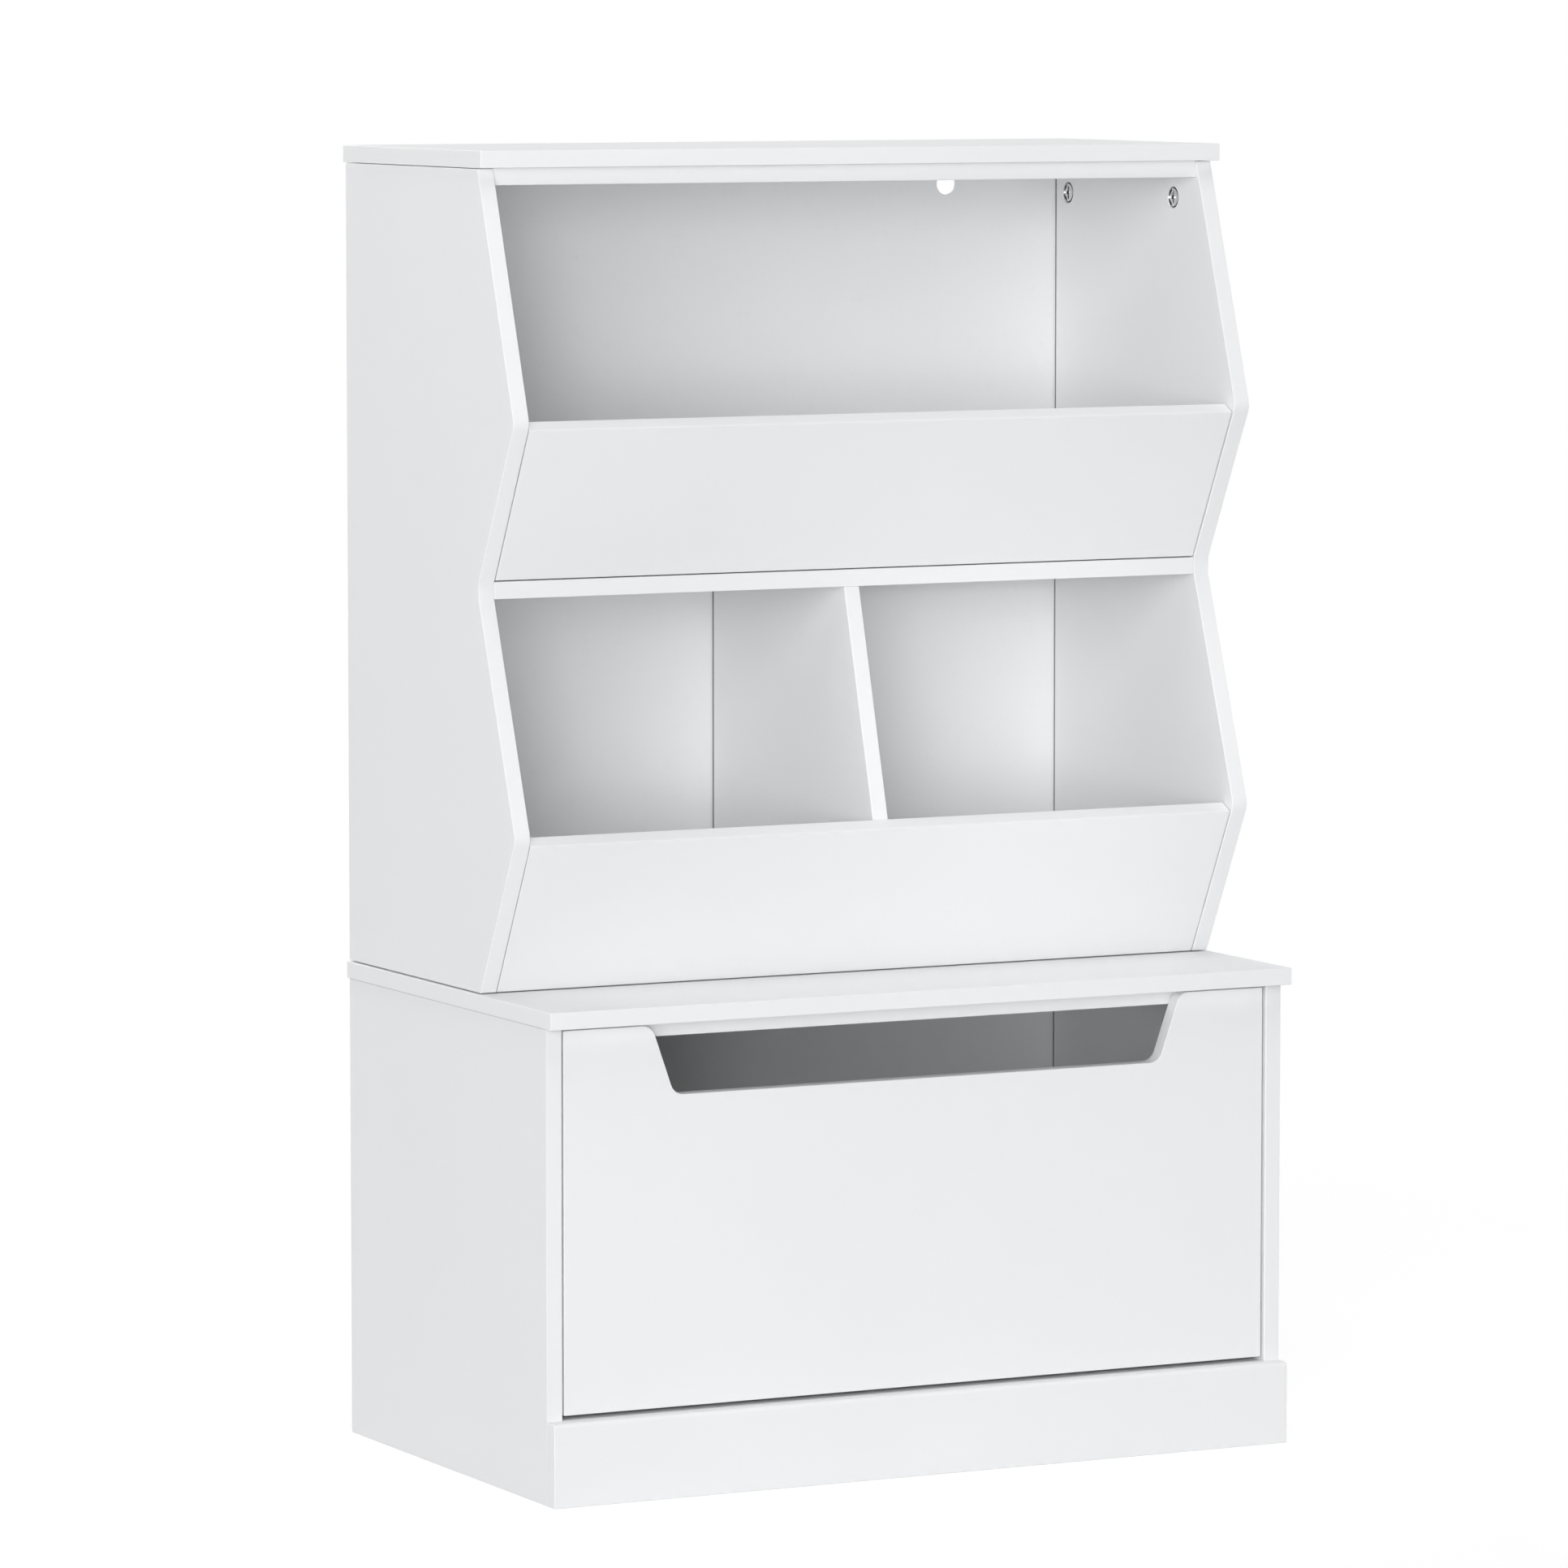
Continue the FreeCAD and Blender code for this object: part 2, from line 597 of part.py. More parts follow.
def make_cam_joints(unit, front_y, cam_z, face_z, cam_master, bolt_master):
    """Two cam locks in each side panel of a unit, and the bolts that hold its top board down."""
    cams, bolts = [], []
    for side, sign in SIDES:
        side_label = f"{unit}_side_{side}"
        turned = Rotation(AXES["z"], 180 if sign == "-" else 0)
        for y in (front_y, "Places.cam_back_y"):
            seat = (f"{sign}Places.inner_x", y, cam_z)
            middle = (f"{sign}Places.cam_x", y, cam_z)
            rim = (middle[0], y, face_z)
            cams.append(copy_of(cam_master, seat, turned))
            bolts.append(copy_of(bolt_master, middle))
            drill_round(side_label, f"{sign}x", seat, "Sizes.cam_radius + Sizes.cam_play",
                        "Sizes.cam_height")
            drill(side_label, "-z", rim, "Sizes.bolt_head_radius + Sizes.bolt_play", "Sizes.cam_drop")
            drill(f"{unit}_top", "+z", rim, "Sizes.bolt_thread_radius + Sizes.dowel_play",
                  "Sizes.bolt_seat")
    fastener_group(f"{unit}_cam_locks", cams)
    fastener_group(f"{unit}_cam_bolts", bolts)


# Base unit

def make_base_boards():
    """The carcass of the base."""
    panel("base_top", ("-Places.top_x", "-Places.back_y", "Places.base_top_z"),
          ("Places.top_x", "Places.back_y", "Sizes.base_height"))
    cut_top_groove("base_top", "Places.base_top_z")
    for side, sign in SIDES:
        outer, inner = f"{sign}Places.side_x", f"{sign}Places.inner_x"
        low_x, high_x = (outer, inner) if sign == "-" else (inner, outer)
        panel(f"base_side_{side}", (low_x, "Places.base_front_y", "0"),
              (high_x, "Places.back_y", "Places.base_top_z"))
        cut_back_groove(f"base_side_{side}", sign, "Places.bottom_z", "Places.base_top_z")
    panel("base_bottom", ("-Places.inner_x", "Places.base_front_y", "Places.bottom_z"),
          ("Places.inner_x", "Places.panel_y", "Sizes.plinth_height"))
    panel("base_top_rail", ("-Places.inner_x", "Places.base_rail_y", "Places.base_top_z - Sizes.board"),
          ("Places.inner_x", "Places.base_rail_y + Sizes.rail_depth", "Places.base_top_z"))
    panel("base_back_panel", ("-Places.panel_x", "Places.panel_y", "Places.bottom_z"),
          ("Places.panel_x", "Places.panel_y + Sizes.back_thick",
           "Places.base_top_z + Sizes.groove_depth - Sizes.groove_play"))
    body = panel("plinth", ("-Places.side_x", "-Places.back_y", "0"),
                 ("Places.side_x", "Places.base_front_y", "Sizes.plinth_height"))
    round_edges(body, [("Places.side_x", "0", "Sizes.plinth_height")], "Sizes.plinth_radius")


def join_base():
    """Dowels between the base's boards."""
    pins = []
    for y in ("Places.base_front_y + Sizes.dowel_setback", "Places.panel_y - Sizes.dowel_setback"):
        pins += end_dowels("base_bottom", "base_side", y, "Places.bottom_z + Sizes.board / 2")
    pins += end_dowels("base_top_rail", "base_side", "Places.base_rail_y + Sizes.rail_depth / 2",
                       "Places.base_top_z - Sizes.board / 2")
    for side, sign in SIDES:
        place = (f"{sign}Places.cam_x", "Places.base_front_y", "Places.bottom_z / 2")
        pins.append(dowel("+y", place, "plinth", f"base_side_{side}"))
    fastener_group("base_dowels", pins)


# Drawer

def make_drawer():
    """The drawer front with its hand cut-out, and the box behind it with its bottom in grooves."""
    top_half, bottom_half = "Sizes.cutout_top_width / 2", "Sizes.cutout_bottom_width / 2"
    outline = (("-Places.drawer_x", "Places.drawer_z"), ("Places.drawer_x", "Places.drawer_z"),
               ("Places.drawer_x", "Places.drawer_top_z"), (top_half, "Places.drawer_top_z"),
               (bottom_half, "Places.cutout_z"), (f"-{bottom_half}", "Places.cutout_z"),
               (f"-{top_half}", "Places.drawer_top_z"), ("-Places.drawer_x", "Places.drawer_top_z"))
    front = profile_panel("drawer_front", "y", "Places.drawer_back_y", outline, "Sizes.board")
    middle_y = "Places.drawer_back_y - Sizes.board / 2"
    bends = [(f"{sign}{half}", middle_y, z) for _, sign in SIDES
             for half, z in ((top_half, "Places.drawer_top_z"), (bottom_half, "Places.cutout_z"))]
    round_edges(front, bends, "Sizes.cutout_radius")
    box_top = "Places.box_z + Sizes.drawer_box_height"
    for side, sign in SIDES:
        outer, inner = f"{sign}Places.box_x", f"{sign}Places.box_inner_x"
        low_x, high_x = (outer, inner) if sign == "-" else (inner, outer)
        panel(f"drawer_side_{side}", (low_x, "Places.drawer_back_y", "Places.box_z"),
              (high_x, "Places.box_rear_y", box_top))
    panel("drawer_back", ("-Places.box_inner_x", "Places.box_rear_y - Sizes.board", "Places.box_z"),
          ("Places.box_inner_x", "Places.box_rear_y", box_top))
    make_drawer_bottom()


def make_drawer_bottom():
    """The thin bottom of the drawer, and the grooves that hold its four edges."""
    reach = "(Sizes.groove_depth - Sizes.groove_play)"
    top_z = "Places.box_bottom_z + Sizes.drawer_bottom_thick"
    panel("drawer_bottom",
          (f"-Places.box_inner_x - {reach}", f"Places.drawer_back_y - {reach}", "Places.box_bottom_z"),
          (f"Places.box_inner_x + {reach}", f"Places.box_rear_y - Sizes.board + {reach}", top_z))
    low_z, high_z = "Places.box_bottom_z - Sizes.groove_play", f"{top_z} + Sizes.groove_play"
    rear = "Places.box_rear_y - Sizes.board + Sizes.groove_depth"
    for side, sign in SIDES:
        groove(f"drawer_side_{side}", f"{sign}x", f"{sign}Places.box_inner_x",
               ("0", "Places.drawer_back_y", low_z), ("0", rear, high_z), "Sizes.groove_depth")
    edge = "(Places.box_inner_x + Sizes.groove_depth)"
    groove("drawer_front", "-y", "Places.drawer_back_y", (f"-{edge}", "0", low_z), (edge, "0", high_z),
           "Sizes.groove_depth")
    groove("drawer_back", "+y", "Places.box_rear_y - Sizes.board", ("-Places.box_inner_x", "0", low_z),
           ("Places.box_inner_x", "0", high_z), "Sizes.groove_depth")


def join_drawer():
    """Dowels at the corners of the drawer box."""
    pins = []
    box_top = "Places.box_z + Sizes.drawer_box_height"
    for z in ("Places.box_z + Sizes.dowel_setback", f"{box_top} - Sizes.dowel_setback"):
        for side, sign in SIDES:
            place = (f"{sign}(Places.box_x - Sizes.board / 2)", "Places.drawer_back_y", z)
            pins.append(dowel("+y", place, "drawer_front", f"drawer_side_{side}"))
        pins += end_dowels("drawer_back", "drawer_side", "Places.box_rear_y - Sizes.board / 2", z,
                           "Places.box_inner_x")
    fastener_group("drawer_dowels", pins)


# Roller runners

def folded_sheet(label, sign, spots, rear_y, length):
    """A runner of folded sheet: an outline of (distance from the middle, height) pairs, padded forwards."""
    outline = [(f"{sign}({x})", z) for x, z in spots]
    profile_panel(label, "y", rear_y, outline, length)


def make_runners():
    """A channel on each cabinet side and a hanger under each drawer side."""
    wall, web = "Places.inner_x", "Places.cabinet_web_x"
    keeper, track = f"{wall} - Sizes.keeper_reach", f"{wall} - Sizes.track_reach"
    channel = ((wall, "Places.runner_z"), (wall, "Places.keeper_top_z"), (keeper, "Places.keeper_top_z"),
               (keeper, "Places.keeper_z"), (web, "Places.keeper_z"), (web, "Places.track_z"),
               (track, "Places.track_z"), (track, "Places.runner_z"))
    box, web, flange = "Places.box_x", "Places.drawer_web_x", "Places.box_x + Sizes.hanger_reach"
    ledge, under = "Places.box_x - Sizes.ledge_reach", "Places.box_z - Sizes.runner_sheet"
    flange_top = "Places.hanger_z + Sizes.runner_sheet"
    hanger = ((ledge, "Places.box_z"), (box, "Places.box_z"), (box, flange_top), (flange, flange_top),
              (flange, "Places.hanger_z"), (web, "Places.hanger_z"), (web, under), (ledge, under))
    for side, sign in SIDES:
        label = f"cabinet_runner_{side}"
        folded_sheet(label, sign, channel, "Places.runner_rear_y", "Sizes.runner_length")
        groove(label, "-z", "Places.keeper_top_z",
               (f"{sign}({keeper})", "Places.runner_front_y", "0"),
               (f"{sign}Places.cabinet_web_x", "Places.front_roller_y + Sizes.roller_inset", "0"),
               "Sizes.runner_sheet")
        folded_sheet(f"drawer_runner_{side}", sign, hanger, "Places.hanger_rear_y",
                     "Places.hanger_rear_y - Places.drawer_back_y")


def make_roller(label, place, way):
    """A plastic roller that turns on its axle between the sheet and the axle's head."""
    body = keep(new_body(label, place))
    body.Placement = Placement(Vector(), turn_towards(way))
    put(body, place)
    bore, rim = "Sizes.axle_radius + Sizes.axle_fit", "Sizes.roller_radius"
    near, far = "Sizes.roller_play", "Sizes.roller_play + Sizes.roller_width"
    add_turning(body, ((bore, near), (rim, near), (rim, far), (bore, far)))


def make_runner_fittings(owner, spot, web, ends, board, axle_master, screw_master):
    """Rollers, axles and screws of one kind of runner on both sides; web gives its back and its face."""
    axles, screws = [], []
    y, z = spot
    for side, sign in SIDES:
        way = f"{sign}x" if owner == "drawer" else f"{OPPOSITE[sign]}x"
        against = OPPOSITE[way[0]] + "x"
        back_x, face_x = (f"{sign}{x}" for x in web)
        runner = f"{owner}_runner_{side}"
        make_roller(f"{owner}_roller_{side}", (face_x, y, z), way)
        axles.append(copy_of(axle_master, (back_x, y, z), turn_towards(way)))
        drill_round(runner, way, (back_x, y, z), "Sizes.axle_radius", "Sizes.runner_sheet")
        for screw_y in (f"{ends[0]} + Sizes.screw_inset", f"{ends[1]} - Sizes.screw_inset"):
            head = (face_x, screw_y, z)
            screws.append(copy_of(screw_master, head, turn_towards(against)))
            drill(runner, against, head, "Sizes.screw_head_radius + Sizes.screw_play", "Sizes.runner_sheet")
            drill(f"{board}_{side}", against, (back_x, screw_y, z),
                  "Sizes.screw_radius + Sizes.screw_play", "Sizes.screw_length - Sizes.runner_sheet")
    fastener_group(f"{owner}_roller_axles", axles)
    fastener_group(f"{owner}_runner_screws", screws)


# Checks and files

def check_and_write():
    """Stop on any failed feature, then write one file for each sub-part."""
    failed = [thing.Name for thing in doc.Objects if {"Invalid", "Error"} & set(thing.State)]
    if failed:
        raise RuntimeError(f"failed features: {failed}")
    for thing in doc.Objects:
        cuts = thing.TypeId.startswith(("PartDesign::Pocket", "PartDesign::Subtractive"))
        if cuts and thing.Shape.Volume > thing.BaseFeature.Shape.Volume - TOUCH:
            raise RuntimeError(f"{thing.Name} cuts nothing")
    for piece in pieces:
        if piece.Shape.isNull() or not piece.Shape.isValid():
            raise RuntimeError(f"{piece.Label} has no sound shape")
    os.makedirs("parts", exist_ok=True)
    for piece in pieces:
        piece.Shape.exportStep(f"parts/{piece.Label}.step")
    print(f"{len(pieces)} sub-parts written")


make_upper_sides()
make_upper_boards()
make_bin_fronts()
make_base_boards()
make_drawer()
make_runners()
join_rack()
join_base()
join_units()
join_drawer()
cam, bolt = make_cam_master(), make_bolt_master()
make_cam_joints("upper", "Places.rack_cam_front_y", "Places.rack_cam_z", "Places.rack_top_z", cam, bolt)
make_cam_joints("base", "Places.base_cam_front_y", "Places.base_cam_z", "Places.base_top_z", cam, bolt)
axle, screw = make_axle_master(), make_screw_master()
make_runner_fittings("cabinet", ("Places.front_roller_y", "Places.front_roller_z"),
                     ("Places.inner_x", "Places.cabinet_web_x"),
                     ("Places.runner_front_y", "Places.runner_rear_y"), "base_side", axle, screw)
make_runner_fittings("drawer", ("Places.rear_roller_y", "Places.rear_roller_z"),
                     ("Places.box_x", "Places.drawer_web_x"),
                     ("Places.drawer_back_y", "Places.hanger_rear_y"), "drawer_side", axle, screw)
doc.recompute()
check_and_write()
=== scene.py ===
# %% [markdown]
# A white toy cabinet, dressed for its portrait
#
# The imported solids already have the right shapes in the right places, in metres, so nothing is fitted by
# eye. This lesson gives them what a solid model lacks: eased edges, lacquer, enamel and metal, the small
# pressed and moulded parts, a soft studio and a camera. We start by loading the frame and by noting its
# box.

# %% Load the frame
import json
import math

import bmesh
import bpy
import numpy as np
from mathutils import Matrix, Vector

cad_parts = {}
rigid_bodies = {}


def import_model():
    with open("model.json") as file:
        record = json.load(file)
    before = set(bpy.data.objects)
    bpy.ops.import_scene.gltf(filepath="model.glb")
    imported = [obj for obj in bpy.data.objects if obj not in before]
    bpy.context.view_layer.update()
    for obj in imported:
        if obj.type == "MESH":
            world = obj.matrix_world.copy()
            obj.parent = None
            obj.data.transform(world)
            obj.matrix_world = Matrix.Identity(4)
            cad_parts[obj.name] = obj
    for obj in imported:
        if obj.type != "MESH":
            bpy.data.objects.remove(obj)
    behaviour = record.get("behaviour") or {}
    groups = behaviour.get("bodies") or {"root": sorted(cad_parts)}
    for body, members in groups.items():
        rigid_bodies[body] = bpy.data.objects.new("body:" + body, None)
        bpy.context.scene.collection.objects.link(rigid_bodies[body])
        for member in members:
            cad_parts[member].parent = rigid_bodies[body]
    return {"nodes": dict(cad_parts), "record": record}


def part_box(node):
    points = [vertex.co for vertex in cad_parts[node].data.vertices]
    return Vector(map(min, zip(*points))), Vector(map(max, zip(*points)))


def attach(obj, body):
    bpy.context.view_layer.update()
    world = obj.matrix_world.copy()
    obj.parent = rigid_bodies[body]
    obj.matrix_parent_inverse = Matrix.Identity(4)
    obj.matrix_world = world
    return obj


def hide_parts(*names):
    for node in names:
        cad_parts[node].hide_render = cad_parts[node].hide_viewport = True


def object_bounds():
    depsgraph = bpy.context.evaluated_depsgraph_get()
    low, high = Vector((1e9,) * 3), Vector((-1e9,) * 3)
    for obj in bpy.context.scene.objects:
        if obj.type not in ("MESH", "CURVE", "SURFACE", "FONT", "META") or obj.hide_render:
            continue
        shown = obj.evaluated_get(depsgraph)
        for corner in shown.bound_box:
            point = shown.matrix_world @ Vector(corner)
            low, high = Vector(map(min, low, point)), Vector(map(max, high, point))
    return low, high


for leftover in list(bpy.data.objects):
    bpy.data.objects.remove(leftover)
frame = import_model()
nodes = frame["nodes"]
cad_low, cad_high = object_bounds()
print("box in mm", [round(1000 * side) for side in cad_high - cad_low])

# %% [markdown]
# The camera
#
# The picture was taken with a long lens from far away, a little above the cabinet and to its left. The
# place, the turn and the lens below came from matching some thirty corners of the boards, whose places the
# solids give, with where those corners lie in the picture. The camera tilts down instead of using a lens
# shift, so that it can be moved round the cabinet and still hold it in the middle of the frame.

# %% Place the camera
LENS_MM, SENSOR_MM = 190.0, 36.0
FARTHEST_SEEN = 200.0
CAMERA_PLACE = (-2.6604, -5.1973, 1.0300)
LOOKS_RIGHT = math.radians(26.872)
LOOKS_DOWN = math.radians(5.491)

camera = bpy.data.objects.new("camera", bpy.data.cameras.new("camera"))
bpy.context.scene.collection.objects.link(camera)
camera.data.lens = LENS_MM
camera.data.sensor_width = SENSOR_MM
camera.data.clip_end = FARTHEST_SEEN
camera.location = CAMERA_PLACE
camera.rotation_euler = (math.pi / 2 - LOOKS_DOWN, 0.0, -LOOKS_RIGHT)
bpy.context.scene.camera = camera
camera_away = math.dist(CAMERA_PLACE, (cad_low + cad_high) / 2)
print(f"camera {camera_away:.2f} m from the middle of the cabinet")

# %% [markdown]
# Writing shaders as sums
#
# A finish is easier to read as arithmetic than as a chain of boxes. The class below wraps one output of a
# shader node. Adding or multiplying two of them adds a Math node to the tree, and `node` adds any other
# kind of node: its settings first, then its inputs, which may be plain values or wrapped outputs.

# %% A socket that can be calculated with
class Socket:
    """One output of a shader node, or the empty start of a tree."""

    def __init__(self, tree, output=None):
        self.tree = tree
        self.output = output

    def node(self, kind, settings=(), inputs=(), out=0):
        """Add a node of a kind to the same tree and give one of its outputs."""
        made = self.tree.nodes.new(kind)
        for name, value in dict(settings).items():
            setattr(made, name, value)
        for name, value in dict(inputs).items():
            if isinstance(value, Socket):
                self.tree.links.new(value.output, made.inputs[name])
            else:
                made.inputs[name].default_value = value
        return Socket(self.tree, made.outputs[out] if made.outputs else None)

    def calculate(self, operation, first, second=0.0):
        """Add a Math node for an operation on one or two values."""
        return self.node("ShaderNodeMath", {"operation": operation}, {0: first, 1: second})

    def __add__(self, other):
        return self.calculate("ADD", self, other)

    def __sub__(self, other):
        return self.calculate("SUBTRACT", self, other)

    def __rsub__(self, other):
        return self.calculate("SUBTRACT", other, self)

    def __mul__(self, other):
        return self.calculate("MULTIPLY", self, other)

    def __abs__(self):
        return self.calculate("ABSOLUTE", self)

    __radd__ = __add__
    __rmul__ = __mul__


print("sockets can be added, subtracted and multiplied")

# %% [markdown]
# Words for a finish
#
# Every finish below is mixed from the same few things: soft noise, smooth steps between two levels, blends
# of two colours and a mask for the arrises of a board, with one shader at the end. Each of them gets a
# short function here, so that a finish can be read like a recipe. The noise follows the object's own
# coordinates, which keeps a pattern on its piece when the drawer slides.

# %% Helpers for the finishes
ARRIS_RAYS = 6
ARRIS_FROM, ARRIS_FULL = 0.01, 0.25


def start_material(name):
    """An empty node material and, as a socket, the coordinates of the object that wears it."""
    material = bpy.data.materials.new(name)
    material.use_nodes = True
    material.node_tree.nodes.clear()
    start = Socket(material.node_tree)
    return material, start.node("ShaderNodeTexCoord", out="Object")


def cloud(place, per_metre, detail=2.0, seed=0.0, stretch=(1, 1, 1)):
    """Soft noise from 0 to 1 with a number of blots per metre, shifted by a seed and scaled by axis."""
    scale = [per_metre * share for share in stretch]
    spot = place.node("ShaderNodeMapping", {}, {
        "Vector": place, "Location": (seed, seed, seed), "Scale": scale})
    return place.node("ShaderNodeTexNoise", {}, {"Vector": spot, "Scale": 1.0, "Detail": detail}, "Fac")


def axes_of(place, axes):
    """The coordinates of a place along the axes that are named, one by one."""
    return [place.node("ShaderNodeSeparateXYZ", {}, {"Vector": place}, axis) for axis in axes]


def between(value, low, high):
    """0 below low, 1 above high and a smooth step between them."""
    return value.node("ShaderNodeMapRange", {"interpolation_type": "SMOOTHSTEP"},
                      {"Value": value, "From Min": low, "From Max": high})


def larger(first, second):
    """The larger one of two values."""
    return first.calculate("MAXIMUM", first, second)


def blend_colours(share, first, second):
    """The first colour where share is 0 and the second where it is 1."""
    return share.node("ShaderNodeMix", {"data_type": "RGBA"}, {0: share, 6: first, 7: second}, 2)


def edge_of(place, reach):
    """1 on the arris of a board and 0 away from it: how far a rounded normal leans from the true one."""
    rounded = place.node("ShaderNodeBevel", {"samples": ARRIS_RAYS}, {"Radius": reach})
    true = place.node("ShaderNodeNewGeometry", out="True Normal")
    alike = place.node("ShaderNodeVectorMath", {"operation": "DOT_PRODUCT"}, {0: rounded, 1: true}, "Value")
    return between(1 - alike, ARRIS_FROM, ARRIS_FULL)


def close_material(place, colour, roughness, height, depth, others=()):
    """Shade the surface: a bump of a height from 0 to 1 and a depth in metres, and a principled shader."""
    normal = place.node("ShaderNodeBump", {}, {"Height": height, "Distance": depth})
    shader = place.node("ShaderNodeBsdfPrincipled", {}, {
        "Base Color": colour, "Roughness": roughness, "Normal": normal, **dict(others)})
    place.node("ShaderNodeOutputMaterial", {}, {"Surface": shader})


print("helpers for the finishes ready")

# %% [markdown]
# White lacquer on board
#
# The boards are sprayed white with a faintly cool, satin lacquer. Seen close it is not flat: the spray
# dries in low ripples a few millimetres wide, with a finer pearl on top, the tone drifts a little from
# place to place, and hands and cloths burnish the arrises. Under the base's top, where its sides end, a
# fine grey line of painted shade stands for the shadow in the joint. All of these are small, because the
# real boards look plain from a step away.

# %% Lacquer
LACQUER = (0.904, 0.909, 0.918, 1.0)
LACQUER_SHADE = (0.89, 0.896, 0.906, 1.0)
LACQUER_RUBBED = (0.92, 0.924, 0.93, 1.0)
# Painted shade: a grey hair on the base's sides under its top, where the joint lies in shadow.
PAINTED_JOINT_SHADE = (0.3, 0.3, 0.3, 1.0)
JOINT_Z, JOINT_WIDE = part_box("base_side_left")[1][2], 0.0006
INNER_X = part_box("mid_shelf")[1][0]
SHARP = 0.0001  # metres over which the edge of a painted line fades


def painted_joint_shade(place):
    """1 for painted shade on the topmost hair of the base's sides: just below a level and beyond the inner
    faces.
    """
    x, z = axes_of(place, "XZ")
    below = 1 - between(z, JOINT_Z, JOINT_Z + SHARP)
    above = between(z, JOINT_Z - JOINT_WIDE - SHARP, JOINT_Z - JOINT_WIDE)
    return below * above * between(abs(x), INNER_X, INNER_X + SHARP)


def make_lacquer():
    """Satin white lacquer with spray ripple, pearl, drifting tone, burnished arrises and painted shade at a
    joint.
    """
    material, place = start_material("white_lacquer")
    drift = cloud(place, per_metre=5.0, detail=3.0)
    ripple = cloud(place, per_metre=240.0, detail=1.0, seed=3.1)
    pearl = cloud(place, per_metre=1500.0, seed=7.7)
    patches = between(cloud(place, per_metre=35.0, seed=1.3), 0.35, 0.65)
    rubbed = edge_of(place, reach=0.0016) * patches
    tone = blend_colours(between(drift, 0.3, 0.7), LACQUER_SHADE, LACQUER)
    lacquered = blend_colours(rubbed * 0.7, tone, LACQUER_RUBBED)
    # The grey line at the joint is painted shade.
    colour = blend_colours(painted_joint_shade(place), lacquered, PAINTED_JOINT_SHADE)
    roughness = 0.4 + drift * 0.1 + pearl * 0.08 - rubbed * 0.12
    close_material(place, colour, roughness, height=ripple * 0.6 + pearl * 0.4, depth=0.00003,
                   others={"Specular IOR Level": 0.45})
    return material


lacquer = make_lacquer()
print("made", lacquer.name)

# %% [markdown]
# Painted hardboard
#
# The backs and the drawer's bottom are thin hardboard under a coat that is duller and greyer than the
# lacquer, and the fibres of the board still show through it as a fine fleck. Along the grooves and
# behind the divider a hair of dark grey is painted on the backs as painted shade, which draws the dark
# lines in the inner corners.

# %% Hardboard
HARDBOARD = (0.882, 0.887, 0.896, 1.0)
HARDBOARD_FLECK = (0.85, 0.855, 0.863, 1.0)
# Painted shade: dark grey for the hairs along the grooves and behind the divider, where the inner corners lie
# in shadow.
HARDBOARD_PAINTED_SHADE = (0.3, 0.295, 0.29, 1.0)
UPRIGHT_FIBRES, LEVEL_FIBRES = (1.0, 1.0, 0.25), (0.25, 1.0, 1.0)
SHADE_HAIR, SHADE_DEEP = 0.00015, 0.001
BACK_FACE_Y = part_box("upper_back_panel")[0][1]
DIVIDER_LOW, DIVIDER_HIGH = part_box("bin_divider")


def painted_corner_shade(place):
    """1 for painted shade on a back's front: from a hair beside the grooves outwards, and behind the divider.
    """
    x, y, z = axes_of(place, "XYZ")
    across = abs(x)
    groove_x, divider_x = INNER_X - SHADE_HAIR, DIVIDER_HIGH[0] + SHADE_HAIR
    in_groove = between(across, groove_x - SHARP, groove_x)
    behind = 1 - between(across, divider_x, divider_x + SHARP)
    above_floor = between(z, DIVIDER_LOW[2], DIVIDER_LOW[2] + SHARP)
    above_divider = between(z, DIVIDER_HIGH[2], DIVIDER_HIGH[2] + SHARP)
    in_front = 1 - between(y, BACK_FACE_Y + SHADE_DEEP, BACK_FACE_Y + SHADE_DEEP + SHARP)
    return larger(in_groove, behind * (above_floor - above_divider)) * in_front


def make_hardboard():
    """Dull white paint over pressed fibres: short flecks in two directions, a slow drift, hairs of painted
    shade.
    """
    material, place = start_material("white_hardboard")
    corner_shade = painted_corner_shade(place)
    drift = cloud(place, per_metre=7.0, detail=3.0, seed=5.0)
    upright = cloud(place, per_metre=260.0, detail=3.0, seed=2.0, stretch=UPRIGHT_FIBRES)
    level = cloud(place, per_metre=260.0, detail=3.0, seed=9.0, stretch=LEVEL_FIBRES)
    flecks = upright * level
    fleck = between(flecks, 0.3, 0.5)
    painted = blend_colours(fleck * 0.5 + drift * 0.2, HARDBOARD, HARDBOARD_FLECK)
    # The dark hairs in the inner corners are painted shade.
    colour = blend_colours(corner_shade, painted, HARDBOARD_PAINTED_SHADE)
    roughness = 0.52 + drift * 0.1 + fleck * 0.08 + corner_shade * 0.2
    close_material(place, colour, roughness, height=flecks, depth=0.00004,
                   others={"Specular IOR Level": 0.35})
    return material


hardboard = make_hardboard()
print("made", hardboard.name)

# %% [markdown]
# Nickel, zinc and enamel
#
# Cam locks are cast and plated, so they are bright but cloudy, with fine polishing lines. Deep recesses
# get painted shade and the ramps a painted highlight: the meshes of these pieces carry a tone for that.
# Screws, rivets and bolts have a duller zinc coat. The runners are folded steel under white enamel, which
# dries with a skin like orange peel. The rollers are moulded nylon, waxy and a little yellow.

# %% Metal, enamel and nylon
# Painted shade for deep recesses, and a painted highlight for the ramps.
PAINTED_RECESS_SHADE, PAINTED_RAMP_HIGHLIGHT = (0.03, 0.03, 0.033, 1.0), (0.96, 0.96, 0.96, 1.0)
NICKEL, NICKEL_HAZE = (0.8, 0.8, 0.81, 1.0), (0.68, 0.68, 0.7, 1.0)
ZINC, ZINC_HAZE = (0.62, 0.63, 0.65, 1.0), (0.48, 0.49, 0.52, 1.0)
ENAMEL, ENAMEL_RUBBED = (0.79, 0.79, 0.78, 1.0), (0.52, 0.52, 0.53, 1.0)
NYLON, NYLON_SHADE = (0.78, 0.77, 0.74, 1.0), (0.72, 0.71, 0.67, 1.0)


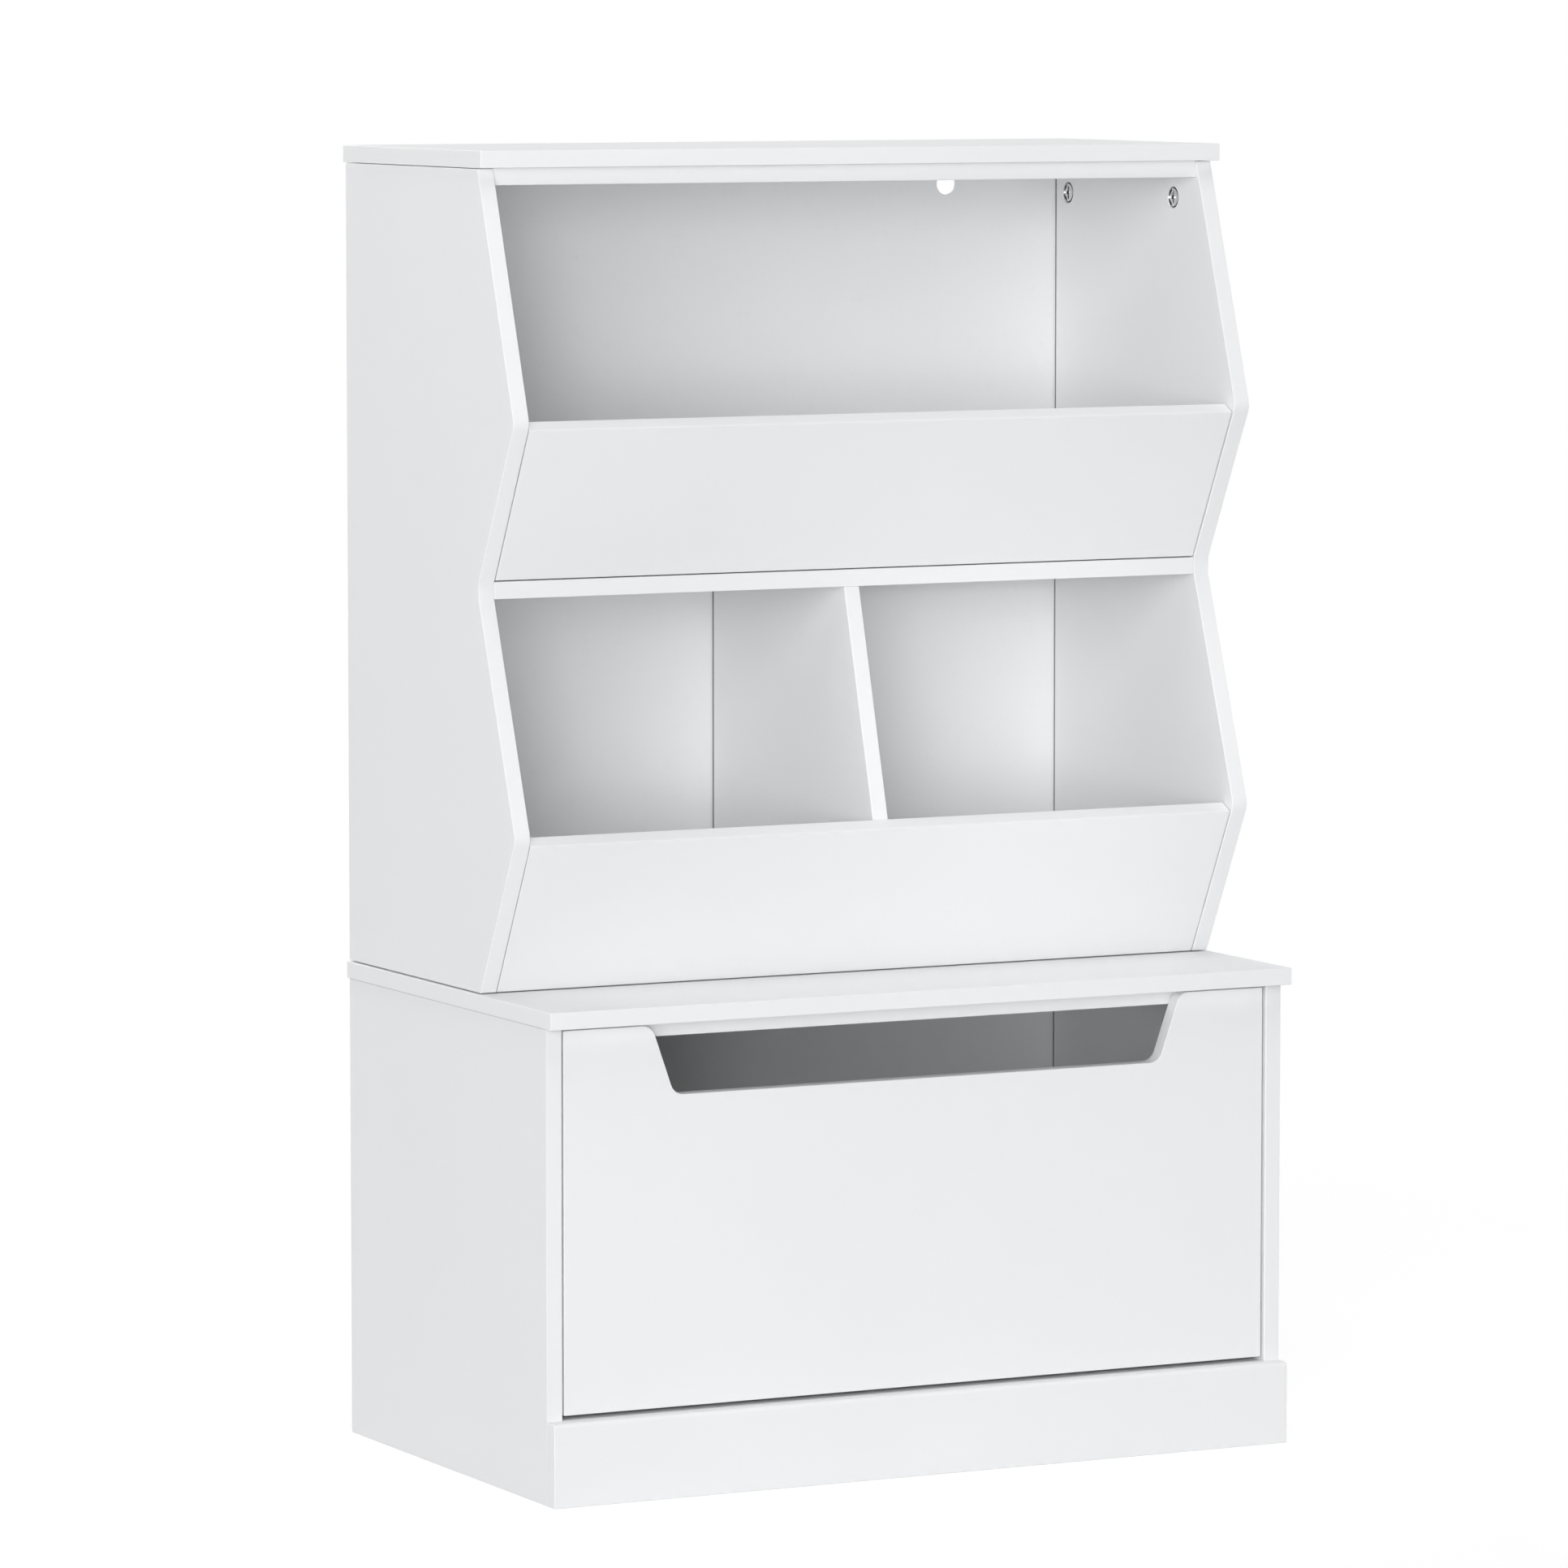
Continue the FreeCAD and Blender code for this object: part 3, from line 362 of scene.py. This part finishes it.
def make_plating(name, bright, haze_colour, roughness):
    """Plated metal: a cloudy coat over fine polish lines. The mesh's tone is 1 for painted shade in recesses,
    -1 for a painted highlight on ramps.
    """
    material, place = start_material(name)
    haze = cloud(place, per_metre=420.0, detail=3.0, seed=4.0)
    lines = cloud(place, per_metre=900.0, seed=6.0, stretch=(1.0, 0.12, 2.5))
    tone = place.node("ShaderNodeAttribute", {"attribute_name": "tone"}, out="Fac")
    # Tone 1 paints shade in recesses, and tone -1 paints a highlight on ramps, which also turn less metallic.
    dark, ramp = between(tone, 0.1, 0.9), between(-1 * tone, 0.1, 0.9)
    plated = blend_colours(between(haze, 0.35, 0.75), bright, haze_colour)
    colour = blend_colours(dark, blend_colours(ramp, plated, PAINTED_RAMP_HIGHLIGHT), PAINTED_RECESS_SHADE)
    rough = roughness + haze * 0.14 + lines * 0.1 + dark * 0.25 + ramp * 0.2
    close_material(place, colour, rough, height=lines, depth=0.000012,
                   others={"Metallic": 1 - ramp * 0.85})
    return material


def make_enamel():
    """White enamel on folded sheet: orange peel, and grey rub marks on the folds."""
    material, place = start_material("runner_enamel")
    peel = cloud(place, per_metre=700.0, detail=1.0, seed=2.4)
    patches = between(cloud(place, per_metre=90.0, detail=3.0, seed=8.0), 0.45, 0.7)
    rubbed = edge_of(place, reach=0.0006) * patches
    colour = blend_colours(rubbed * 0.6, ENAMEL, ENAMEL_RUBBED)
    close_material(place, colour, 0.28 + peel * 0.12 + rubbed * 0.15, height=peel, depth=0.00003)
    return material


def make_nylon():
    """Waxy moulded nylon with faint flow clouds."""
    material, place = start_material("roller_nylon")
    flow = cloud(place, per_metre=160.0, seed=1.7)
    grain = cloud(place, per_metre=2400.0, detail=1.0, seed=3.3)
    colour = blend_colours(between(flow, 0.3, 0.7), NYLON_SHADE, NYLON)
    close_material(place, colour, 0.36 + flow * 0.1 + grain * 0.06, height=grain, depth=0.00002)
    return material


nickel = make_plating("cam_nickel", NICKEL, NICKEL_HAZE, roughness=0.18)
zinc = make_plating("fastener_zinc", ZINC, ZINC_HAZE, roughness=0.28)
enamel = make_enamel()
nylon = make_nylon()
print("made", nickel.name, zinc.name, enamel.name, nylon.name)

# %% [markdown]
# Beech
#
# Dowels are turned from beech. They sit inside the joints, but anyone who takes the model apart will find
# them, so they get their grain: fine dark flecks drawn out along the pin over a warm ground.

# %% Beech dowels
BEECH, BEECH_FLECK = (0.63, 0.44, 0.25, 1.0), (0.47, 0.29, 0.15, 1.0)
DOWEL_WAYS = ((0.08, 1.0, 1.0), (1.0, 0.08, 1.0), (1.0, 1.0, 0.08))


def make_beech():
    """Beech with flecks, drawn out along the three ways that dowels lie."""
    material, place = start_material("dowel_beech")
    grain = [cloud(place, per_metre=900.0, detail=3.0, seed=2.0 * turn, stretch=way)
             for turn, way in enumerate(DOWEL_WAYS)]
    fleck = between(grain[0] * grain[1] + grain[2] * 0.3, 0.32, 0.5)
    colour = blend_colours(fleck, BEECH, BEECH_FLECK)
    close_material(place, colour, 0.6 + fleck * 0.12, height=fleck, depth=0.00005)
    return material


beech = make_beech()
print("made", beech.name)

# %% [markdown]
# Who wears what
#
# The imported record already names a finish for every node. Each name is matched with one of the materials
# above, and each node's only material slot gets it.

# %% Hand out the finishes
FINISHES = {"white_board": lacquer, "white_hardboard": hardboard, "cam_zinc": nickel, "fastener_steel": zinc,
            "beech": beech, "runner_enamel": enamel, "roller_nylon": nylon}
wears = {part["node"]: part["material_slot"] for part in frame["record"]["subparts"]}
for name, slot_name in wears.items():
    for material_slot in nodes[name].material_slots:
        material_slot.material = FINISHES[slot_name]
for slot_name, finish in FINISHES.items():
    print(f"{finish.name:16s} on {sum(worn == slot_name for worn in wears.values())} nodes")

# %% [markdown]
# Eased edges
#
# No board leaves a workshop with knife edges: they are eased with a few strokes of sandpaper, and lacquer
# rounds them further. The small rounding catches light along every edge and makes a fine dark line where
# two boards meet. A Bevel modifier does it, after a Weld that joins the loose triangles of the solids and
# a Decimate that makes whole faces of them. The sheet of the runners gets the small radius of its folds in
# the same way.

# %% Ease the boards and the folds
EASED = {"white_board": 0.0006, "white_hardboard": 0.0003, "runner_enamel": 0.0004}
JOIN_REACH, EASE_STEPS, FACE_WEIGHT = 0.00001, 2, 100
FLAT_WITHIN, EASED_FROM = math.radians(0.5), math.radians(35)


def ease_edges(part, width):
    """Join the triangles of a solid into whole faces and round every edge sharper than a set angle."""
    join = part.modifiers.new("join", "WELD")
    join.merge_threshold = JOIN_REACH
    whole = part.modifiers.new("whole_faces", "DECIMATE")
    whole.decimate_type = "DISSOLVE"
    whole.angle_limit = FLAT_WITHIN
    ease = part.modifiers.new("ease", "BEVEL")
    ease.width = width
    ease.segments = EASE_STEPS
    ease.limit_method = "ANGLE"
    ease.angle_limit = EASED_FROM
    ease.use_clamp_overlap = False
    flat = part.modifiers.new("flat_faces", "WEIGHTED_NORMAL")
    flat.weight = FACE_WEIGHT


eased = [name for name, slot_name in wears.items() if slot_name in EASED]
for name in eased:
    ease_edges(nodes[name], EASED[wears[name]])
print(f"eased {len(eased)} boards and sheets")

# %% [markdown]
# Turned and pressed shapes
#
# Cam locks, screws, rivets and rollers are all round, so each is a profile carried round an axis: a grid
# whose rows follow the profile and whose columns go round. What a press or a mould adds, such as the
# cross of a cam lock, is a depth that is taken off the grid's faces. A modelled cylinder with cuts would
# need many booleans, while a grid stays smooth and takes its shape from a few numbers in millimetres.

# %% Profiles and grids
MM = 0.001


def along(corners, step):
    """Points about a step apart on a line of corners: linear between the corners, by distance walked."""
    corners = np.asarray(corners, float)
    walked = np.concatenate([[0.0], np.cumsum(np.hypot(*np.diff(corners, axis=0).T))])
    marks = np.union1d(walked, np.arange(0.0, walked[-1], step))
    return np.stack([np.interp(marks, walked, column) for column in corners.T], axis=-1)


def turned(profile, sectors):
    """A profile of (radius, height) carried round X: at angle a, (height, radius cos a, radius sin a)."""
    radius, height = np.asarray(profile, float).T[:, :, None]
    angle = np.linspace(0.0, 2.0 * np.pi, sectors, endpoint=False)
    round_grid = np.broadcast_arrays(height, radius * np.cos(angle), radius * np.sin(angle))
    return np.stack(round_grid, axis=-1)


def set_down(grid, centre, facing):
    """A turned grid in millimetres, set with its height along X or against it at a centre in metres."""
    return np.asarray(centre) + MM * grid * (facing, 1.0, 1.0)


def quads_of(rows, columns):
    """Corner numbers of a grid's quads: each joins two rows, and the last column joins the first one."""
    row, column = np.meshgrid(np.arange(rows - 1), np.arange(columns), indexing="ij")
    beside = (column + 1) % columns
    corners = (row, column), (row + 1, column), (row + 1, beside), (row, beside)
    return np.stack([down * columns + across for down, across in corners], axis=-1).reshape(-1, 4)


print("profiles and grids ready")

# %% [markdown]
# From grids to pieces
#
# One piece holds all the grids of a kind, such as the four screws of the cabinet's runners. Points of a
# grid coincide at its poles and where a profile closes, so doubles are merged before the faces are turned
# outwards. The piece then says which body it rides on, which finish it wears and which solid it stands
# for. Its place comes from that solid's box, so that it stays right if the solid moves.

# %% Make a piece and find its places
MERGE_REACH = 1e-6
SHARP_FROM = math.radians(40)


def add_piece(name, grids, body, slot_name, stands_for, tone=0.0):
    """One mesh of round grids: doubles at poles and seams merged, faces outwards, sharp over a set angle.

    Tone, from -1 for a painted highlight to 1 for painted shade at each point of a grid, goes along as an
    attribute.
    """
    starts = np.cumsum([0] + [grid.shape[0] * grid.shape[1] for grid in grids])
    faces = [start + quads_of(*grid.shape[:2]) for start, grid in zip(starts, grids)]
    mesh = bpy.data.meshes.new(name)
    mesh.from_pydata(np.concatenate([grid.reshape(-1, 3) for grid in grids]).tolist(), [],
                     np.concatenate(faces).tolist())
    tones = np.concatenate([np.broadcast_to(tone, grid.shape[:2]).ravel() for grid in grids])
    mesh.attributes.new("tone", "FLOAT", "POINT").data.foreach_set("value", tones.astype(np.float32))
    merged = bmesh.new()
    merged.from_mesh(mesh)
    bmesh.ops.remove_doubles(merged, verts=merged.verts, dist=MERGE_REACH)
    bmesh.ops.recalc_face_normals(merged, faces=merged.faces)
    merged.to_mesh(mesh)
    merged.free()
    mesh.shade_smooth()
    mesh.set_sharp_from_angle(angle=SHARP_FROM)
    mesh.materials.append(FINISHES[slot_name])
    piece = bpy.data.objects.new(name, mesh)
    bpy.context.scene.collection.objects.link(piece)
    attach(piece, body)
    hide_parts(stands_for)
    print(f"{name}: {len(mesh.polygons)} faces")


def four_spots(name, radius):
    """The side's sign, the depth and the level of four round fittings in a node, two on each side."""
    low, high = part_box(name)
    depths = low[1] + radius * MM, high[1] - radius * MM
    level = (low[2] + high[2]) / 2
    return [(side, depth, level) for side in (-1, 1) for depth in depths]


print("pieces can be made")

# %% [markdown]
# Cam locks
#
# A cam lock is a drum that lies in a bore of the side panel and grips the head of a bolt from the board
# above. Its face has a cross for the screwdriver, whose front arm is a ramp, and two strokes that end in a
# ramp at the rim: an arrow that shows which way the lock has been turned. A rounded rim stands clear of
# the bore. All of these are depths pressed into the face of a turned drum.

# %% Press the cam locks
CAM_RADIUS, CAM_DEEP, CAM_DISH = 7.5, 10.0, 0.3
CAM_RIM = [(6.05, -CAM_DISH), (6.15, -0.1), (6.3, 0.0), (6.5, -0.06), (6.6, -0.3), (6.65, -0.5), (6.65, -1.8)]
CAM_RIM_SHOWS = 5  # points of the rim that are bright, the others lie in the bore
CAM_BACK = [(7.4, -1.9), (7.4, -9.6), (7.0, -CAM_DEEP), (0.0, -CAM_DEEP)]
CAM_STEP, CAM_SECTORS = 0.12, 120
SLOT_WALL, END_WALL, DARK_DEEP = 0.16, 0.2, 0.6
# reach or length, half of the width and depth of each slot
CROSS_UPRIGHT, CROSS_REAR = (4.6, 0.95, 3.0), (3.4, 1.1, 3.0)
FRONT_RAMP, FRONT_RAMP_FROM = (3.0, 0.8, 3.6), -CROSS_UPRIGHT[1]
RIM_RAMP, RIM_RAMP_FROM = (1.6, 0.9, 2.0), 6.0
STROKE_ENDS, STROKE_HALF, STROKE_DEEP = ((5.9, 1.6), (2.6, 5.2)), 0.8, 2.0


def wall(inside, soft):
    """1 well inside a pressed shape and 0 outside it, with a wall as wide as soft."""
    return np.clip(inside / soft, 0.0, 1.0)


def hollow(run, over, reach, half, deep):
    """Depth of a slot that gets shallower with the square of the run along it, with walls across it."""
    return deep * np.clip(1 - (run / reach) ** 2, 0, 1) * wall(half - np.abs(over), SLOT_WALL)


def ramp(run, over, long, half, deep):
    """Depth of a slot that gets deeper in proportion to the run along it, up to a wall at its end."""
    slope = deep * np.clip(run / long, 0, 1)
    return slope * wall(long - run, END_WALL) * wall(half - np.abs(over), SLOT_WALL)


def stroke(y, z, start, end, half, deep):
    """Depth of a straight groove: full within half a width of the nearest point between its two ends."""
    start, way = np.asarray(start), np.subtract(end, start)
    share = np.clip(((y - start[0]) * way[0] + (z - start[1]) * way[1]) / (way @ way), 0, 1)
    gap = np.hypot(y - start[0] - share * way[0], z - start[1] - share * way[1])
    return deep * wall(half - gap, END_WALL)


def cam_lock():
    """A turned drum whose face sinks by the deepest of its slots, and the tone that paints shade and
    highlight on it.
    """
    face = along([(0.0, -CAM_DISH), CAM_RIM[0]], CAM_STEP)
    grid = turned(np.concatenate([face, CAM_RIM[1:], CAM_BACK]), CAM_SECTORS)
    y, z = grid[:len(face), :, 1], grid[:len(face), :, 2]
    upright = hollow(z, y, *CROSS_UPRIGHT)
    rear_arm = hollow(y, z, *CROSS_REAR) * (y > 0)
    strokes = stroke(y, np.abs(z), *STROKE_ENDS, STROKE_HALF, STROKE_DEEP)
    ramps = np.maximum(ramp(FRONT_RAMP_FROM - y, z, *FRONT_RAMP), ramp(RIM_RAMP_FROM - y, z, *RIM_RAMP))
    dark = np.maximum.reduce([upright, rear_arm, strokes])
    # The tone paints shade in the deep slots and on the rim inside the bore, and a highlight on the ramps.
    tone = np.zeros(grid.shape[:2])
    tone[:len(face)] = np.where(ramps > dark, -np.sign(ramps), np.clip(dark / DARK_DEEP, 0, 1))
    tone[len(face) + CAM_RIM_SHOWS - 1:] = 1.0
    grid[:len(face), :, 0] -= np.maximum(dark, ramps)
    return grid, tone


drum, drum_shade_and_highlight = cam_lock()
for unit in ("upper", "base"):
    node = f"{unit}_cam_locks"
    face_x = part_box(node)[1][0] - CAM_DEEP * MM
    drums = [set_down(drum, (side * face_x, depth, level), -side)
             for side, depth, level in four_spots(node, CAM_RADIUS)]
    add_piece(f"{unit}_cam_drums", drums, "cabinet", "cam_zinc", node, drum_shade_and_highlight)

# %% [markdown]
# Runner screws
#
# Flat-headed screws hold the runners. The head has the same kind of cross as the cam locks, and the shank
# has a thread: its radius goes up and down once per pitch, and the wave moves round with the angle.

# %% Turn the screws
HEAD_RADIUS, HEAD_THICK, HEAD_FACE = 3.0, 1.2, 2.7
HEAD_RIM = [(2.9, -0.1), (HEAD_RADIUS, -0.3), (HEAD_RADIUS, -HEAD_THICK)]
HEAD_CROSS = (1.9, 0.36, 0.8)
SHANK_RADIUS, SCREW_LONG = 1.75, 10.0
THREAD_PITCH, THREAD_DEEP, THREAD_CURVE = 1.25, 0.42, 0.7
HEAD_STEP, SHANK_STEP, SCREW_SECTORS = 0.12, 0.16, 48


def runner_screw():
    """A flat head with a pressed cross on a shank whose radius is a ridge wave of height and angle."""
    face = along([(0.0, 0.0), (HEAD_FACE, 0.0)], HEAD_STEP)
    shank = along([(SHANK_RADIUS, -HEAD_THICK), (SHANK_RADIUS, -SCREW_LONG)], SHANK_STEP)
    grid = turned(np.concatenate([face, HEAD_RIM, shank, [(0.0, -SCREW_LONG)]]), SCREW_SECTORS)
    y, z = grid[:len(face), :, 1], grid[:len(face), :, 2]
    grid[:len(face), :, 0] -= np.maximum(hollow(y, z, *HEAD_CROSS), hollow(z, y, *HEAD_CROSS))
    thread = grid[-len(shank):-1]
    turns = thread[..., 0] / THREAD_PITCH + np.arctan2(thread[..., 2], thread[..., 1]) / (2 * np.pi)
    ridge = np.abs((turns % 1.0) * 2 - 1)
    thread[..., 1:] *= (1 - THREAD_DEEP / SHANK_RADIUS * ridge ** THREAD_CURVE)[..., None]
    return grid


screw = runner_screw()
# Painted shade on the screw heads: the deeper a point lies, the darker it is painted.
screw_head_shade = np.where(screw[..., 0] > -HEAD_THICK, -screw[..., 0], 0.0)
for owner, face_inside in (("cabinet", True), ("drawer", False)):
    node = f"{owner}_runner_screws"
    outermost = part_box(node)[1][0]
    face_x = outermost - SCREW_LONG * MM if face_inside else outermost
    screws = [set_down(screw, (side * face_x, depth, level), -side if face_inside else side)
              for side, depth, level in four_spots(node, HEAD_RADIUS)]
    add_piece(f"{owner}_runner_threaded_screws", screws, owner, "fastener_steel", node, screw_head_shade)

# %% [markdown]
# Rollers and their rivets
#
# Each runner has one nylon roller on a riveted pin. The roller has a hub, a thinner web and a tread with
# rounded shoulders, and the rivet has a low domed head, with its pin through the roller into the steel.

# %% Mould the rollers and set the rivets
ROLLER_HALF = [(2.55, 2.7), (2.75, 3.0), (4.2, 3.0), (4.6, 2.5), (7.0, 2.5),
               (7.5, 2.9), (8.5, 3.0), (9.0, 2.88), (9.34, 2.55), (9.5, 2.1)]
PIN_RADIUS, PIN_LONG, DOME_HIGH = 2.49, 7.6, 0.6
RIVET_DOME = [(0.0, DOME_HIGH), (1.4, 0.57), (2.6, 0.46), (3.5, 0.27), (3.9, 0.1), (4.0, 0.0)]
RIVET_PIN = [(PIN_RADIUS, 0.0), (PIN_RADIUS, -PIN_LONG), (0.0, -PIN_LONG)]
ROLLER_SECTORS, RIVET_SECTORS = 72, 40


def roller():
    """A closed profile: half of it, its mirror image and back to the bore, carried round the axle."""
    other_half = [(radius, -height) for radius, height in reversed(ROLLER_HALF)]
    return turned(ROLLER_HALF + other_half + ROLLER_HALF[:1], ROLLER_SECTORS)


def rivet():
    """A low dome that runs into a straight pin, as one profile carried round the axle."""
    return turned(RIVET_DOME + RIVET_PIN, RIVET_SECTORS)


for owner, head_inside in (("cabinet", True), ("drawer", False)):
    for side, hand in ((-1, "left"), (1, "right")):
        node = f"{owner}_roller_{hand}"
        middle = np.mean(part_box(node), axis=0)
        add_piece(f"{owner}_tread_roller_{hand}", [set_down(roller(), middle, side)],
                  f"{owner}_wheel_{hand}", "roller_nylon", node)
    node = f"{owner}_roller_axles"
    low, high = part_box(node)
    _, depth, level = np.mean((low, high), axis=0)
    seat_x = high[0] - (PIN_LONG if head_inside else DOME_HIGH) * MM
    rivets = [set_down(rivet(), (side * seat_x, depth, level), -side if head_inside else side)
              for side in (-1, 1)]
    add_piece(f"{owner}_roller_rivets", rivets, owner, "fastener_steel", node)

# %% [markdown]
# The background and the floor
#
# The cabinet stands on white, so floor and background should look plain white without lighting it from
# below. A Light Path node tells the rays that look from the rays that carry light. What the camera, a
# reflection or glass looks at is white, and what carries light is a dim sky and a pale floor. Close to the
# cabinet the floor is part glow and part paint, so that it takes the shadow, and further out only glow.

# %% White world and pale floor
WHITE = (1.0, 1.0, 1.0, 1.0)
FLOOR_PAINT, SHADOW_PAINT = (0.8, 0.8, 0.8, 1.0), (0.34, 0.34, 0.34, 1.0)
PLAIN_GLOW, NEAR_GLOW, SKY_LIGHT = 1.0, 0.75, 0.1
SHADOW_NEAR, SHADOW_FAR = 0.7, 1.7
FLOOR_SIZE = 40.0


def looked_at(tree):
    """1 for rays from the camera, from reflections and through glass, 0 for rays that carry light."""
    start = Socket(tree)
    seen, mirrored, through = (start.node("ShaderNodeLightPath", out=f"Is {ray} Ray")
                               for ray in ("Camera", "Glossy", "Transmission"))
    return larger(larger(seen, mirrored), through)


def make_world():
    """A dim even sky for light, and plain white where it is looked at."""
    world = bpy.data.worlds.new("studio")
    world.use_nodes = True
    world.node_tree.nodes.clear()
    share = looked_at(world.node_tree)
    sky = share.node("ShaderNodeBackground", {}, {"Color": WHITE, "Strength": SKY_LIGHT})
    white = share.node("ShaderNodeBackground", {}, {"Color": WHITE, "Strength": PLAIN_GLOW})
    both = share.node("ShaderNodeMixShader", {}, {0: share, 1: sky, 2: white})
    share.node("ShaderNodeOutputWorld", {}, {"Surface": both})
    return world


def make_floor_paint():
    """Pale paint for light; for looks, a glow with some paint in it near the cabinet and none far off."""
    material, place = start_material("floor_paint")
    distance = place.node("ShaderNodeVectorMath", {"operation": "LENGTH"}, {0: place}, "Value")
    far = between(distance, SHADOW_NEAR, SHADOW_FAR)
    near_glow = place.node("ShaderNodeEmission", {}, {"Color": WHITE, "Strength": NEAR_GLOW})
    shadowed = place.node("ShaderNodeBsdfDiffuse", {}, {"Color": SHADOW_PAINT})
    near = place.node("ShaderNodeAddShader", {}, {0: near_glow, 1: shadowed})
    white = place.node("ShaderNodeEmission", {}, {"Color": WHITE, "Strength": PLAIN_GLOW})
    shown = place.node("ShaderNodeMixShader", {}, {0: far, 1: near, 2: white})
    paint = place.node("ShaderNodeBsdfDiffuse", {}, {"Color": FLOOR_PAINT})
    both = place.node("ShaderNodeMixShader", {}, {0: looked_at(material.node_tree), 1: paint, 2: shown})
    place.node("ShaderNodeOutputMaterial", {}, {"Surface": both})
    return material


reach = FLOOR_SIZE / 2
floor_mesh = bpy.data.meshes.new("floor")
floor_mesh.from_pydata([(-reach, -reach, 0), (reach, -reach, 0), (reach, reach, 0), (-reach, reach, 0)],
                       [], [(0, 1, 2, 3)])
floor_mesh.materials.append(make_floor_paint())
floor = bpy.data.objects.new("floor", floor_mesh)
bpy.context.scene.collection.objects.link(floor)
bpy.context.scene.world = make_world()
print(f"floor {FLOOR_SIZE} m wide, sky {SKY_LIGHT}")

# %% [markdown]
# Soft boxes
#
# A white cabinet on white needs faces that differ a little, or its edges vanish. What the camera sees is
# lit mostly from beside it and a little to the left, so that the bins are light to their backs, and a
# narrow spot reaches the lower right bin, which is the darkest. Others on the left and above give the left
# side and the top their own, slightly lower tone. Two more light the right side and the back, which the
# camera does not see.

# %% Lamps
MIDDLE, LOWER_RIGHT_BIN = (0.0, 0.0, 0.5), (0.17, 0.05, 0.52)
# name, aim, degrees to the right of the front, degrees up, metres away, metres wide, watts, degrees of cone
LAMPS = (
    ("by_camera", MIDDLE, -27, 4, 9.0, 3.0, 220.0),
    ("left_front", MIDDLE, -42, 10, 9.0, 5.0, 366.0),
    ("high_front", MIDDLE, -10, 68, 8.0, 4.0, 112.0),
    ("left", MIDDLE, -96, 8, 9.0, 5.0, 66.0),
    ("over", MIDDLE, 0, 86, 7.0, 5.0, 125.0),
    ("right", MIDDLE, 96, 8, 9.0, 5.0, 270.0),
    ("back", MIDDLE, 180, 12, 9.0, 3.0, 400.0),
    ("into_bin", LOWER_RIGHT_BIN, -22, 6, 5.0, 0.3, 195.0, 4.2),
)


def make_lamp(name, aim, right, up, away, wide, watts, cone=None):
    """A square soft box on a sphere round its aim and turned to it, or a soft spot if it has a cone."""
    right, up = math.radians(right), math.radians(up)
    light = bpy.data.lights.new(name, "SPOT" if cone else "AREA")
    light.energy = watts
    if cone:
        light.spot_size = math.radians(cone)
        light.spot_blend = 1.0
        light.shadow_soft_size = wide / 2
    else:
        light.size = wide
    lamp = bpy.data.objects.new(name, light)
    bpy.context.scene.collection.objects.link(lamp)
    flat = away * math.cos(up)
    lamp.location = np.add(aim, (flat * math.sin(right), -flat * math.cos(right), away * math.sin(up)))
    lamp.rotation_euler = (math.pi / 2 - up, 0.0, right)
    return lamp


lamps = [make_lamp(*row) for row in LAMPS]
bpy.context.scene.view_settings.view_transform = "Standard"
print(f"{len(lamps)} lamps, {sum(lamp.data.energy for lamp in lamps):.0f} W in all")
